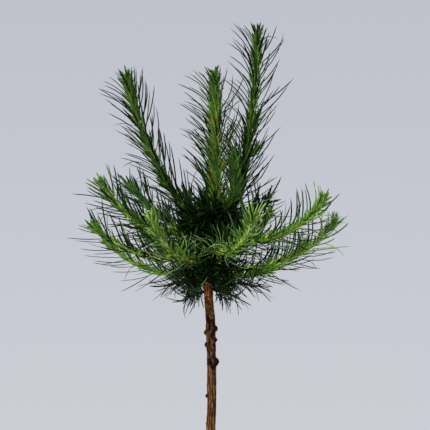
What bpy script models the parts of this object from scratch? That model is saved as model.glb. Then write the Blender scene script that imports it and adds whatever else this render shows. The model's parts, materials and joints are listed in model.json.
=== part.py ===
"""A blue dwarf Japanese larch, grafted at the top of a clear stem and grown in a round nursery pot.

Units are metres with +Z up. The origin is the centre of the pot's flat underside.
Headings are degrees about +Z: 0 points to +X, 90 to +Y, and 270 to the side that the plant shows.
"""

import random
from math import ceil, cos, pi, radians, sin, sqrt

import bmesh
import bpy
import numpy as np
from mathutils import Matrix, Vector

MM = 0.001
CLEAR = 0.3 * MM  # what touching pieces keep between them
MERGE = 0.01 * MM  # points closer than this are one point

# Pot, a three litre container
POT_HEIGHT = 155 * MM
RIM_RADIUS = 95 * MM
RIM_DEPTH = 9 * MM
RIM_STEP = 2.6 * MM
RIM_EDGE = 1 * MM
BASE_RADIUS = 72.5 * MM
BASE_BEND = 4 * MM
POT_WALL = 1.6 * MM
POT_STEPS = 40
DRAIN_HOLES = 6
DRAIN_RADIUS = 5 * MM
DRAIN_CIRCLE = 58 * MM
DRAIN_SIDES = 12
DRAIN_CUT = 10 * MM

# Soil
SOIL_TOP = 140 * MM
SOIL_FLAT = 13 * MM
SOIL_SHOULDER = 46 * MM
SOIL_FALL = 3 * MM
SOIL_SHOULDER_FALL = 0.4  # share of its fall that the soil has made at its shoulder

# Stem from the soil to the crown: height above the soil, drift to +X, drift to +Y and radius, in mm
STEM_COURSE = (
    (0, 0.0, 0.0, 9.0),
    (8, 0.0, 0.0, 7.2),
    (25, 0.2, 0.0, 6.0),
    (80, 0.8, 0.8, 5.3),
    (160, 1.6, 1.6, 5.0),
    (230, 2.2, 1.8, 4.7),
    (295, 2.8, 1.4, 4.5),
    (325, 3.6, 1.0, 4.5),
    (355, 3.7, 0.6, 4.5),
    (400, 2.6, 0.0, 4.7),
    (430, 0.6, 0.0, 4.4),
    (460, -1.8, 0.0, 3.9),
    (488, -2.0, 0.0, 3.2),
    (508, -1.5, 0.0, 2.4),
)
STEM_RING = 16 * MM
STEM_BEVEL = 3  # bevel resolution, which gives ten sides
BOUGH_BEVEL = 1  # six sides

# Knots where side shoots were cut off: height above the soil in mm, heading, radius in mm
KNOTS = (
    (396, 0, 3.0),
    (392, 180, 2.6),
    (385, 352, 2.3),
    (380, 186, 2.4),
    (363, 358, 3.7),
    (329, 182, 2.1),
    (371, 100, 2.4),
    (338, 70, 2.2),
    (301, 140, 2.0),
    (262, 50, 2.1),
    (214, 160, 1.9),
)
KNOT_SINK = 0.35  # share of a knot's radius that its centre lies inside the bark
KNOT_DIVISIONS = 2

# Limbs: height on the stem above the pot's underside in mm, heading, turn along the shoot,
# (straight run in mm, its rise) and (length of the upturned rest in mm, rise at its start, rise at its end)
LIMBS = {
    "tall_left": (626, 174, 0, (38, 56), (139, 52, 79)),
    "tall_middle": (636, 293, 1, (36, 52), (120, 81, 100)),
    "tall_right": (630, 15, 0, (47, 48), (167, 76, 89)),
    "short_upright": (643, 322, -1, (41, 34), (42, 71, 105)),
    "tall_back": (637, 80, 0, (36, 55), (98, 66, 86)),
    "left_upper": (610, 190, 0, (37, 36), (89, 4, 60)),
    "left_back": (617, 145, 0, (40, 28), (71, 28, 44)),
    "left_lower": (600, 204, -15, (31, 8), (91, 1, 40)),
    "front_left": (594, 235, -6, (33, 20), (71, 6, 62)),
    "front_right": (606, 297, -13, (28, 16), (98, -2, 42)),
    "right_upper": (614, 341, 8, (43, 13), (90, -2, 55)),
    "right_lower": (595, 353, 0, (44, 2), (95, 3, 52)),
    "right_back": (618, 39, 0, (43, 34), (45, 24, 26)),
    "back_upper": (609, 98, 8, (34, 20), (92, 6, 54)),
    "back_right": (602, 58, -8, (32, 8), (92, 4, 50)),
    "back_left": (602, 128, 6, (32, 6), (92, 2, 48)),
    "back_low_right": (588, 26, -6, (30, 0), (84, 0, 42)),
    "back_low_left": (590, 156, 6, (30, 0), (84, 0, 42)),
    "back_low": (582, 90, 0, (28, 2), (80, 0, 40)),
}
# Short hanging shoots under the crown, straight from the stem: height in mm, heading, length in mm, rises
UNDERSHOOTS = {
    "under_left": (585, 200, 46, 0, -14),
    "under_front_left": (586, 238, 36, -14, -34),
    "under_front_right": (584, 306, 36, -18, -38),
    "under_right": (583, 346, 56, 1, -10),
    "under_back_right": (576, 42, 44, -6, -22),
    "under_back_left": (574, 128, 44, -6, -24),
}
BOUGH_RADII = (1.9 * MM, 1.5 * MM)
SHOOT_RADII = (1.8 * MM, 0.9 * MM)
SHOOT_SEGMENT = 12 * MM
BOUGH_SHARE = 0.5  # share of a limb's first, straight run that is bare bough

# Needles, fewer and broader than life
NEEDLE_LENGTH = 41 * MM
NEEDLE_RADIUS = 1.5 * MM
NEEDLE_ROOT = 0.4  # radius at the root, as a share of the widest
NEEDLE_WIDEST = 0.42  # where the needle is widest, as a share of its length
NEEDLE_SPACING = 4.6 * MM
NEEDLE_START = 2.5 * MM  # how far up the shoot its first needle stands
NEEDLE_SINK = 0.3 * MM  # how far from the shoot's middle a needle is rooted
NEEDLE_LEAN = (24, 68)  # degrees from the shoot's line at the root and at the point
TIP_LEAN = (8, 26)  # the same at the shoot's end
SIDE_LEAN = 30  # degrees by which needles on the +X side of an upright shoot lean more first and less last
LOWER_LEAN = (14, 22)  # by how much more first and less last those under a level shoot do
LIFT = 0.95  # how strongly the needles of a level shoot turn up
LOWER_SINK = 0.7  # share of their lift that those under it lose
SWAY = 0.45  # how strongly the needles of an upright shoot turn to -X
LIMB_SWAY = {"tall_right": 0.2, "tall_left": 0.35}  # the same on these limbs
UPPER_SWAY = 0.3  # how strongly those on top of a level shoot do
TIP_SHARE = 0.16  # share of the shoot whose needles are still short
TIP_NEEDLE = 0.36  # length of a needle at the shoot's end, as a share of a full one
LENGTH_SPREAD = (0.9, 1.08)
TURN_SPREAD = 12
GOLDEN_TURN = 137.5
NEEDLE_LENGTHS_TRIED = (1.0, 0.75, 0.52)
NEEDLE_SAMPLES = 12
NEEDLE_SLACK = 0.5 * MM

# Side twigs on the older half of each shoot
TWIG_LENGTH = 13 * MM
TWIG_RADII = (1.3 * MM, 0.8 * MM)
TWIG_LEAN = 46
TWIG_UPTURN = 0.3  # how strongly a side twig turns back to its shoot's direction
TWIG_NEEDLES = 4
TWIG_BARE = 0.3  # share of a side twig with no needles
TWIG_YOUNG = 0.7  # how far its needles are like those at a shoot's end
TWIG_PLACES = {"tall_right": ((0.345, 350), (0.53, 348))}  # share along the shoot, heading
TWIG_SHARES = (0.08, 0.34)
TWIG_TRIES = 6

NEARLY_UPRIGHT = 0.05  # a shoot's level share, below which its sides are measured from +X
CONE_MERGE = 0.001  # the same as MERGE, for a needle or twig before it is given its size
POT_SMOOTH = 30  # degrees between faces, above which an edge of the pot stays sharp
SMOOTH = 40  # the same on soil, stem and boughs

SEED = 23


def remove_scene_objects():
    for old in list(bpy.data.objects):
        bpy.data.objects.remove(old, do_unlink=True)


def new_collection(name):
    collection = bpy.data.collections.new(name)
    bpy.context.scene.collection.children.link(collection)
    return collection


def material(name, colour, roughness):
    made = bpy.data.materials.new(name)
    made.use_nodes = True
    shader = made.node_tree.nodes["Principled BSDF"]
    shader.inputs["Base Color"].default_value = (*colour, 1)
    shader.inputs["Roughness"].default_value = roughness
    shader.inputs["Metallic"].default_value = 0
    return made


def mesh_object(name, mesh, collection):
    made = bpy.data.objects.new(name, mesh)
    collection.objects.link(made)
    return made


def object_from_bmesh(name, shape, collection):
    mesh = bpy.data.meshes.new(name)
    shape.to_mesh(mesh)
    shape.free()
    return mesh_object(name, mesh, collection)


def evaluated_mesh(source):
    bpy.context.view_layer.update()
    graph = bpy.context.evaluated_depsgraph_get()
    return bpy.data.meshes.new_from_object(source.evaluated_get(graph))


def discard(items):
    for item in list(items):
        data = item.data
        bpy.data.objects.remove(item, do_unlink=True)
        if isinstance(data, bpy.types.Mesh):
            bpy.data.meshes.remove(data)
        else:
            bpy.data.curves.remove(data)


def tube(name, points, radii, collection, resolution):
    """A closed tapering tube through the points, as a mesh with its caps welded on."""
    curve = bpy.data.curves.new(name, "CURVE")
    curve.dimensions = "3D"
    curve.bevel_depth = MM
    curve.bevel_resolution = resolution
    curve.use_fill_caps = True
    spline = curve.splines.new("POLY")
    spline.points.add(len(points) - 1)
    for place, point, radius in zip(spline.points, points, radii):
        place.co = (*point, 1)
        place.radius = radius / MM
    drawn = mesh_object(name + "_line", curve, collection)
    mesh = evaluated_mesh(drawn)
    shape = bmesh.new()
    shape.from_mesh(mesh)
    bpy.data.meshes.remove(mesh)
    bmesh.ops.remove_doubles(shape, verts=shape.verts, dist=MERGE)
    bmesh.ops.recalc_face_normals(shape, faces=shape.faces)
    solid = object_from_bmesh(name, shape, collection)
    solid.matrix_world = drawn.matrix_world.copy()
    discard([drawn])
    return solid


def boolean(target, operation, other, solver="EXACT"):
    """Adds a Boolean with one object, or with all the objects of a collection."""
    cut = target.modifiers.new(operation.lower(), "BOOLEAN")
    cut.operation = operation
    cut.solver = solver
    if isinstance(other, bpy.types.Collection):
        cut.operand_type = "COLLECTION"
        cut.collection = other
    else:
        cut.object = other


def keep_one_body(mesh):
    """Drops the loose scraps and sealed hollows that joining can leave, and keeps the largest closed body."""
    shape = bmesh.new()
    shape.from_mesh(mesh)
    waiting = set(shape.faces)
    bodies = []
    while waiting:
        front = [waiting.pop()]
        body = list(front)
        while front:
            face = front.pop()
            for edge in face.edges:
                for near in edge.link_faces:
                    if near in waiting:
                        waiting.discard(near)
                        front.append(near)
                        body.append(near)
        bodies.append(body)
    bodies.sort(key=len)
    scraps = [face for body in bodies[:-1] for face in body]
    bmesh.ops.delete(shape, geom=scraps, context="FACES")
    loose = [vert for vert in shape.verts if not vert.link_faces]
    bmesh.ops.delete(shape, geom=loose, context="VERTS")
    shape.to_mesh(mesh)
    shape.free()


def apply_modifiers(target):
    mesh = evaluated_mesh(target)
    old = target.data
    target.modifiers.clear()
    target.data = mesh
    bpy.data.meshes.remove(old)
    keep_one_body(target.data)


def finish(solid, finish_material, smooth_angle=None):
    solid.data.materials.clear()
    solid.data.materials.append(finish_material)
    if smooth_angle:
        solid.data.shade_smooth()
        solid.data.set_sharp_from_angle(angle=radians(smooth_angle))


def turned(name, profile, closed, collection):
    """A turned solid: its profile (radius, height) runs down the outer side, and is closed or ends on the axis."""
    shape = bmesh.new()
    verts = [shape.verts.new((radius, 0, height)) for radius, height in profile]
    for first, second in zip(verts, verts[1:]):
        shape.edges.new((first, second))
    if closed:
        shape.edges.new((verts[-1], verts[0]))
    solid = object_from_bmesh(name, shape, collection)
    screw = solid.modifiers.new("turn", "SCREW")
    screw.steps = POT_STEPS
    screw.render_steps = POT_STEPS
    screw.use_merge_vertices = True
    screw.merge_threshold = MERGE
    return solid


def pot_radius(height):
    """Outer radius of the pot's wall, under its rim."""
    share = (height - BASE_BEND) / (POT_HEIGHT - BASE_BEND)
    return BASE_RADIUS + (RIM_RADIUS - RIM_STEP - BASE_RADIUS) * share


def make_pot(collection, cutters):
    wall_top = POT_HEIGHT - RIM_DEPTH
    profile = (
        (RIM_RADIUS - POT_WALL - RIM_STEP, POT_HEIGHT),
        (RIM_RADIUS - RIM_EDGE, POT_HEIGHT),
        (RIM_RADIUS, POT_HEIGHT - RIM_EDGE),
        (RIM_RADIUS, wall_top),
        (pot_radius(wall_top), wall_top - RIM_EDGE),
        (BASE_RADIUS, BASE_BEND),
        (BASE_RADIUS - BASE_BEND, 0),
        (0, 0),
        (0, POT_WALL),
        (BASE_RADIUS - BASE_BEND, POT_WALL),
        (BASE_RADIUS - POT_WALL, BASE_BEND + POT_WALL),
    )
    pot = turned("pot", profile, True, collection)
    for index in range(DRAIN_HOLES):
        heading = 2 * pi * (index + 0.5) / DRAIN_HOLES
        hole = bmesh.new()
        bmesh.ops.create_cone(
            hole,
            cap_ends=True,
            segments=DRAIN_SIDES,
            radius1=DRAIN_RADIUS,
            radius2=DRAIN_RADIUS,
            depth=DRAIN_CUT,
            matrix=Matrix.Translation((DRAIN_CIRCLE * cos(heading), DRAIN_CIRCLE * sin(heading), 0)),
        )
        cutter = object_from_bmesh(f"drain_cutter_{index + 1}", hole, cutters)
        cutter.hide_render = True
        cutter.display_type = "WIRE"
    boolean(pot, "DIFFERENCE", cutters)
    apply_modifiers(pot)
    discard(cutters.objects)
    finish(pot, material("black_plastic", (0.022, 0.023, 0.025), 0.55), POT_SMOOTH)


def make_soil(collection):
    wall = POT_WALL + CLEAR
    edge = SOIL_TOP - SOIL_FALL
    floor = POT_WALL + CLEAR
    profile = (
        (0, SOIL_TOP),
        (SOIL_FLAT, SOIL_TOP),
        (SOIL_SHOULDER, SOIL_TOP - SOIL_SHOULDER_FALL * SOIL_FALL),
        (pot_radius(edge) - wall, edge),
        (BASE_RADIUS - wall, BASE_BEND + floor),
        (BASE_RADIUS - BASE_BEND - CLEAR, floor),
        (0, floor),
    )
    soil = turned("soil", profile, False, collection)
    apply_modifiers(soil)
    finish(soil, material("potting_soil", (0.045, 0.03, 0.02), 0.95), SMOOTH)


def stem_at(height):
    """Centre and radius of the stem at a height above the pot's underside, eased from one named place to the next."""
    above = min(max((height - SOIL_TOP) / MM, 0), STEM_COURSE[-1][0])
    for low, high in zip(STEM_COURSE, STEM_COURSE[1:]):
        if above <= high[0]:
            share = (above - low[0]) / (high[0] - low[0])
            break
    eased = share * share * (3 - 2 * share)
    drift_x, drift_y, radius = (a + (b - a) * eased for a, b in zip(low[1:], high[1:]))
    return Vector((drift_x * MM, drift_y * MM, height)), radius * MM


def stem_rings():
    """Heights of the stem's rings: every named place, and even steps between them."""
    heights = [SOIL_TOP]
    for low, high in zip(STEM_COURSE, STEM_COURSE[1:]):
        steps = max(1, ceil((high[0] - low[0]) * MM / STEM_RING))
        for step in range(1, steps + 1):
            heights.append(SOIL_TOP + (low[0] + (high[0] - low[0]) * step / steps) * MM)
    return heights


def stem_tube(name, grow, collection):
    """The stem's tube, its radius grown all over for the cutters. Its foot is a flat, level cut."""
    placed = [stem_at(height) for height in stem_rings()]
    points = [point for point, radius in placed]
    radii = [radius + grow for point, radius in placed]
    foot = points[0] + Vector((0, 0, CLEAR if not grow else -MM))
    top = points[-1] + Vector((0, 0, grow))
    return tube(name, [foot, *points[1:-1], top], radii, collection, STEM_BEVEL)


def make_trunk(collection, scratch, bark):
    trunk = stem_tube("trunk", 0, collection)
    for index, (above, heading, radius) in enumerate(KNOTS):
        centre, stem_radius = stem_at(SOIL_TOP + above * MM)
        outward = Vector((cos(radians(heading)), sin(radians(heading)), 0))
        place = centre + outward * (stem_radius - KNOT_SINK * radius * MM)
        knot = bmesh.new()
        place = Matrix.Translation(place)
        bmesh.ops.create_icosphere(knot, subdivisions=KNOT_DIVISIONS, radius=radius * MM, matrix=place)
        object_from_bmesh(f"knot_{index + 1}", knot, scratch)
    boolean(trunk, "UNION", scratch)
    apply_modifiers(trunk)
    discard(scratch.objects)
    finish(trunk, bark, SMOOTH)


def heading_vector(heading, rise):
    level = cos(radians(rise))
    return Vector((level * cos(radians(heading)), level * sin(radians(heading)), sin(radians(rise))))


def sweep(start, heading, turn, rise_start, rise_end, length, segment):
    """Points along a limb whose heading and rise change evenly from end to end."""
    steps = max(2, round(length / segment))
    points = [Vector(start)]
    for step in range(steps):
        share = (step + 0.5) / steps
        rise = rise_start + (rise_end - rise_start) * share
        points.append(points[-1] + heading_vector(heading + turn * share, rise) * (length / steps))
    return points


def taper(points, radii):
    count = len(points) - 1
    return [radii[0] + (radii[1] - radii[0]) * index / count for index in range(count + 1)]


def plan_limbs():
    """The line of every bough and of every shoot: boughs by limb name, shoots by mass name."""
    boughs, shoots = {}, {}
    for name, (height, heading, turn, (reach, rise), (length, rise_start, rise_end)) in LIMBS.items():
        root, _ = stem_at(height * MM)
        run = heading_vector(heading, rise) * reach * MM
        bare = run * BOUGH_SHARE
        boughs[name] = [root, root + bare / 2, root + bare]
        foot = root + bare + run.normalized() * CLEAR
        shoots[name] = [foot, *sweep(root + run, heading, turn, rise_start, rise_end, length * MM, SHOOT_SEGMENT)]
    for name, (height, heading, length, rise_start, rise_end) in UNDERSHOOTS.items():
        root, _ = stem_at(height * MM)
        shoots[name] = sweep(root, heading, 0, rise_start, rise_end, length * MM, SHOOT_SEGMENT)
    return boughs, shoots


def along(points, distance):
    """Place and direction at a distance along a line of points."""
    left = distance
    for low, high in zip(points, points[1:]):
        step = (high - low).length
        if left <= step:
            break
        left -= step
    return low + (high - low) * min(left / step, 1), (high - low).normalized()


def line_length(points):
    return sum((high - low).length for low, high in zip(points, points[1:]))


def distances(samples, lines):
    """Distance of each sample point to each line, as a table of samples by lines."""
    columns = []
    for line in lines:
        nodes = np.array(line)
        low, run = nodes[:-1], nodes[1:] - nodes[:-1]
        offset = samples[:, None, :] - low[None]
        share = np.clip((offset * run).sum(2) / (run * run).sum(1), 0, 1)
        gap = offset - share[..., None] * run
        columns.append(np.sqrt((gap * gap).sum(2)).min(1))
    return np.stack(columns, 1)


class Space:
    """The space that each mass keeps to: nearer to its own shoot than to any other, and off every limb."""

    def __init__(self, boughs, shoots):
        self.names = list(shoots)
        self.shoots = [shoots[name] for name in self.names]
        self.boughs = list(boughs.values())
        self.stem = [stem_at(height)[0] for height in stem_rings()]

    def holds(self, samples, radius, name):
        samples = np.array(samples)
        to_shoots = distances(samples, self.shoots)
        own = self.names.index(name)
        others = np.delete(to_shoots, own, 1)
        margin = 2 * radius + CLEAR + NEEDLE_SLACK
        if (others - to_shoots[:, [own]] < margin).any():
            return False
        if (others < SHOOT_RADII[0] + margin - radius).any():
            return False
        if (distances(samples, self.boughs) < BOUGH_RADII[0] + margin - radius).any():
            return False
        stem_gap = distances(samples, [self.stem])[:, 0]
        widths = np.array([stem_at(sample[2])[1] for sample in samples])
        return not (stem_gap < widths + margin - radius).any()


def facing_of(direction, outward):
    """How far a needle stands above a level shoot and how far below it, each from 0 to 1."""
    level = sqrt(max(0, 1 - direction.z**2))
    return max(0, outward.z) * level, max(0, -outward.z) * level


def pull_of(direction, outward, sway):
    """What bends a needle besides its own lean: up on a level shoot, less so under it, and to -X on an upright one."""
    upper, lower = facing_of(direction, outward)
    lift = LIFT * sqrt(max(0, 1 - direction.z**2)) * (1 - LOWER_SINK * lower)
    return Vector((-sway * abs(direction.z) - UPPER_SWAY * upper, 0, lift))


def lean_of(young, direction, outward):
    """How far a needle leans at its root and point: under a level shoot, and on the +X side of an upright one,
    it leans out at once and then turns back."""
    right = SIDE_LEAN * max(0, outward.x) * abs(direction.z)
    _, lower = facing_of(direction, outward)
    wide = NEEDLE_LEAN[0] + right + LOWER_LEAN[0] * lower, NEEDLE_LEAN[1] - right - LOWER_LEAN[1] * lower
    return [far + (close - far) * young for far, close in zip(wide, TIP_LEAN)]


def needle_line(root, direction, outward, lean, pull, length):
    """Points along a needle that leans outward more and more and follows its pull, from root to tip."""
    points = [Vector(root)]
    for step in range(NEEDLE_SAMPLES):
        share = (step + 0.5) / NEEDLE_SAMPLES
        angle = radians(lean[0] + (lean[1] - lean[0]) * share)
        aim = direction * cos(angle) + outward * sin(angle) + pull * share
        points.append(points[-1] + aim.normalized() * (length / NEEDLE_SAMPLES))
    return points


def needle_radius(share):
    if share <= NEEDLE_WIDEST:
        return NEEDLE_RADIUS * (NEEDLE_ROOT + (1 - NEEDLE_ROOT) * share / NEEDLE_WIDEST)
    return NEEDLE_RADIUS * (1 - share) / (1 - NEEDLE_WIDEST)


def three_sided(name, line, cuts, radius_at, blunt, collection):
    """A three-sided cone cut across at shares of its length, its rings set along a line. A blunt one has a flat end."""
    solid = bmesh.new()
    bmesh.ops.create_cone(solid, cap_ends=True, segments=3, radius1=1, radius2=0.5 if blunt else 0, depth=1)
    for cut in cuts:
        bmesh.ops.bisect_plane(
            solid,
            geom=[*solid.verts, *solid.edges, *solid.faces],
            plane_co=(0, 0, cut - 0.5),
            plane_no=(0, 0, 1),
        )
    bmesh.ops.remove_doubles(solid, verts=solid.verts, dist=CONE_MERGE)
    length = line_length(line)
    for vert in solid.verts:
        share = vert.co.z + 0.5
        centre, direction = along(line, share * length)
        across = Vector((vert.co.x, vert.co.y, 0))
        if across.length > CONE_MERGE:
            turn = Vector((0, 0, 1)).rotation_difference(direction)
            centre = centre + turn @ (across.normalized() * radius_at(share))
        vert.co = centre
    return object_from_bmesh(name, solid, collection)


def twig_solid(name, line, radii, collection):
    """A tapering three-sided twig with a ring at every point of its line."""
    length = line_length(line)
    cuts = [line_length(line[: index + 1]) / length for index in range(1, len(line) - 1)]
    return three_sided(name, line, cuts, lambda share: radii[0] + (radii[1] - radii[0]) * share, True, collection)


def side_of(direction, turn):
    """A direction square to a shoot, turned about it."""
    across = direction.cross(Vector((0, 0, 1)))
    if across.length < NEARLY_UPRIGHT:
        across = direction.cross(Vector((1, 0, 0)))
    across.normalize()
    return Matrix.Rotation(radians(turn), 3, direction) @ across


def add_needles(line, count, start, chance, space, name, scratch, is_twig=False):
    """Needles in a spiral up a shoot or twig: short and close to the line at its growing end."""
    length = line_length(line)
    spacing = (length - start) / count
    phase = chance.uniform(0, 360)
    for index in range(count):
        place = start + (index + 0.5) * spacing
        left = (length - place) / length
        young = TWIG_YOUNG if is_twig else max(0, 1 - left / TIP_SHARE)
        full = NEEDLE_LENGTH * (1 + (TIP_NEEDLE - 1) * young) * chance.uniform(*LENGTH_SPREAD)
        root, direction = along(line, place)
        outward = side_of(direction, phase + index * GOLDEN_TURN + chance.uniform(-TURN_SPREAD, TURN_SPREAD))
        lean = lean_of(young, direction, outward)
        pull = pull_of(direction, outward, LIMB_SWAY.get(name, SWAY)) * (1 - young / 2)
        root = root + outward * NEEDLE_SINK
        for share in NEEDLE_LENGTHS_TRIED:
            points = needle_line(root, direction, outward, lean, pull, full * share)
            if space.holds(points, NEEDLE_RADIUS, name):
                three_sided("needle", points, (NEEDLE_WIDEST,), needle_radius, False, scratch)
                break


def add_twigs(line, chance, space, name, scratch):
    """Short side twigs, each with a few needles, where they fit in the mass's own space."""
    length = line_length(line)
    places = TWIG_PLACES.get(name)
    if not places:
        places = [(chance.uniform(*TWIG_SHARES), chance.uniform(0, 360)) for _ in range(TWIG_TRIES)]
    limit = len(places) if name in TWIG_PLACES else 1
    made = 0
    for share, heading in places:
        if made == limit:
            break
        root, direction = along(line, share * length)
        outward = heading_vector(heading, 0)
        outward = (outward - direction * outward.dot(direction)).normalized()
        aim = direction * cos(radians(TWIG_LEAN)) + outward * sin(radians(TWIG_LEAN))
        last = (aim + direction * TWIG_UPTURN).normalized()
        points = [root, root + aim * TWIG_LENGTH / 2, root + (aim + last) * TWIG_LENGTH / 2]
        if not space.holds(points, TWIG_RADII[0], name):
            continue
        twig_solid("twig", points, TWIG_RADII, scratch)
        add_needles(points, TWIG_NEEDLES, TWIG_BARE * TWIG_LENGTH, chance, space, name, scratch, True)
        made += 1


def make_bough(name, line, grown_stem, collection, bark):
    """One tapering limb, its root cut to the stem's side."""
    bough = tube("bough_" + name, line, taper(line, BOUGH_RADII), collection, BOUGH_BEVEL)
    boolean(bough, "DIFFERENCE", grown_stem)
    apply_modifiers(bough)
    finish(bough, bark, SMOOTH)


def make_mass(name, line, grown_stem, space, collection, scratch, leaf):
    """One mass: a shoot with its side twigs and needles, joined into one body."""
    chance = random.Random(f"{SEED} {name}")
    shoot = twig_solid("foliage_" + name, line, SHOOT_RADII, collection)
    start = NEEDLE_START
    if name in UNDERSHOOTS:
        boolean(shoot, "DIFFERENCE", grown_stem)
        start += stem_at(line[0].z)[1]
    count = round((line_length(line) - start) / NEEDLE_SPACING)
    add_needles(line, count, start, chance, space, name, scratch)
    add_twigs(line, chance, space, name, scratch)
    boolean(shoot, "UNION", scratch, "MANIFOLD")
    apply_modifiers(shoot)
    discard(scratch.objects)
    finish(shoot, leaf)


def main():
    remove_scene_objects()
    plant = new_collection("potted_blue_dwarf_larch")
    cutters = new_collection("cutters")
    scratch = new_collection("needles_to_join")
    bark = material("stem_bark", (0.16, 0.085, 0.045), 0.85)
    limb_bark = material("bough_bark", (0.2, 0.13, 0.06), 0.8)
    leaf = material("needles", (0.07, 0.16, 0.035), 0.5)
    make_pot(plant, cutters)
    make_soil(plant)
    make_trunk(plant, scratch, bark)
    boughs, shoots = plan_limbs()
    space = Space(boughs, shoots)
    grown_stem = stem_tube("grown_stem", CLEAR, cutters)
    for name, line in boughs.items():
        make_bough(name, line, grown_stem, plant, limb_bark)
    for name, line in shoots.items():
        make_mass(name, line, grown_stem, space, plant, scratch, leaf)
    discard(cutters.objects)
    bpy.data.collections.remove(cutters)
    bpy.data.collections.remove(scratch)


main()
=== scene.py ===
"""Looks for the potted blue dwarf Japanese larch: needles, twigs, bark, soil, pot and a plain studio.

Units are metres with +Z up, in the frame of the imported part: the origin is the centre of the pot's flat
underside. Headings are degrees about +Z: 0 points to +X, 90 to +Y, and 270 to the side that the camera sees.
"""

import json
import random
from math import ceil, cos, exp, pi, radians, sin, sqrt

import bmesh
import bpy
from mathutils import Matrix, Vector, noise

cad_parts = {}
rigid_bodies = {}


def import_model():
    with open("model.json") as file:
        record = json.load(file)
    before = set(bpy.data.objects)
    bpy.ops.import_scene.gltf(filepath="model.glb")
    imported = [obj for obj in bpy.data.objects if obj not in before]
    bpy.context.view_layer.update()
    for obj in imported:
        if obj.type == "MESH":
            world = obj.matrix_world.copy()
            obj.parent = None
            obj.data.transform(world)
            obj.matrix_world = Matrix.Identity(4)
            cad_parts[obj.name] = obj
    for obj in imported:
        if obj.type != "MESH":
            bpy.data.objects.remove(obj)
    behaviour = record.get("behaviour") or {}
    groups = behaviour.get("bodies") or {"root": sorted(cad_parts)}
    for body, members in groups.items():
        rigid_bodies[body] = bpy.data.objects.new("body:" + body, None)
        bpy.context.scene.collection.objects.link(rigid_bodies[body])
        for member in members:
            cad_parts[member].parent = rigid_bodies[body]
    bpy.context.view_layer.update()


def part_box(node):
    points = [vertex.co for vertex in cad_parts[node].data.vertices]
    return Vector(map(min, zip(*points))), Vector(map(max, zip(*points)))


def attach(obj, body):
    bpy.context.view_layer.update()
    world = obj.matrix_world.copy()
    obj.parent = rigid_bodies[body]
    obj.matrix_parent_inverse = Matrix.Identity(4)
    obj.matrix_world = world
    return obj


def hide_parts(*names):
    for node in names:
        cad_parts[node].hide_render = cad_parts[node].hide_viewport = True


MM = 0.001
SEED = 23
UP = Vector((0, 0, 1))
GOLDEN_TURN = 137.5  # degrees between one needle or spur and the next

# Stem above the soil: height, drift to +X, drift to +Y and radius, in mm
STEM_COURSE = (
    (0, 0.0, 0.0, 9.0),
    (8, 0.0, 0.0, 7.2),
    (25, 0.2, 0.0, 6.0),
    (80, 0.8, 0.8, 5.3),
    (160, 1.6, 1.6, 5.0),
    (230, 2.2, 1.8, 4.7),
    (295, 2.8, 1.4, 4.5),
    (325, 3.6, 1.0, 4.5),
    (355, 3.7, 0.6, 4.5),
    (400, 2.6, 0.0, 4.7),
    (430, 0.6, 0.0, 4.4),
    (460, -1.8, 0.0, 3.9),
    (488, -2.0, 0.0, 3.2),
    (508, -1.5, 0.0, 2.4),
)
STEM_SIDES = 60
STEM_RING = 0.8 * MM
ROOT_LOBES = 5
ROOT_LOBE_DEPTH = 0.7 * MM
ROOT_LOBE_RISE = 14 * MM
ROOT_LOBE_SHIFT = 1.2  # how unevenly the lobes stand round the stem

# Knots: height above the soil in mm, heading, radius in mm
KNOTS = (
    (396, 0, 3.0), (392, 180, 2.6), (385, 352, 2.3), (380, 186, 2.4), (363, 358, 3.7), (329, 182, 2.1),
    (371, 100, 2.4), (338, 70, 2.2), (301, 140, 2.0), (262, 50, 2.1), (214, 160, 1.9),
)
KNOT_SINK = 0.35  # share of a knot's radius that its centre lies inside the bark
KNOT_RISE = 0.16  # how much further than a ball it stands out, as a share of its radius
KNOT_SPREAD = 1.22  # how much broader than that ball the bark swells
KNOT_SKIN = 0.3 * MM  # how far a knot has to lift the bark for its dark skin to show
KNOT_STEM = 4.5 * MM  # the stem's radius where that skin is looked for
# Cut face of a knot: how far out each ring lies in mm, and its radius as a share of the knot's
KNOT_FACE = ((0, 0.52), (0.5, 0.5), (1.0, 0.4), (1.15, 0.16))
KNOT_FACE_SINK = 0.9 * MM
KNOT_FACE_SIDES = 14

# Bark zones and the height above the soil in mm where each one ends; the crown's dark bark is painted shade
BARK_ZONES = (
    ("stock", 358), ("graft", 366), ("dark_stock", 401), ("graft", 408),
    ("collar", 425), ("scion", 447), ("crown", 999),
)
ZONE_WANDER = 5
ZONE_CELL = (1.3, 7.7)  # how often the borders swing round the stem, and where in the noise they lie
# How often each bark's noise changes round the stem, and over how many mm along it
STOCK_CELL = (3.1, 42)
SCION_CELL = (2.2, 3.4)
GRAFT_CELL = (2.0, 4.5)
STOCK_TURN = 294  # degrees by which the stock's ridges are turned, so that pale ones stand in front
STOCK_SHARPNESS = 3.0
STOCK_FLECK = 9  # mm along the stem over which the stock's flecks change
FLECK_SCALE = 2.3
STOCK_SHARES = (0.8, 0.3)  # of ridges and flecks
SCION_CRACK = 3.2  # how sharply a scale's edge falls
SCION_RING = (11.5, 5, 0.9)  # mm from ring to ring, where a ring lies between, and its spread
SCION_SHARES = (0.75, 0.3, 0.2)  # of scales, rings and flecks
GRAFT_KNOBS = (0.5, 0.9, 0.3, 2.7)  # middle, shares of broad and fine knobs, and how much finer these are
RELIEF_TOP = 0.5  # the relief at which the bark stands at the stem's own radius

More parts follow.
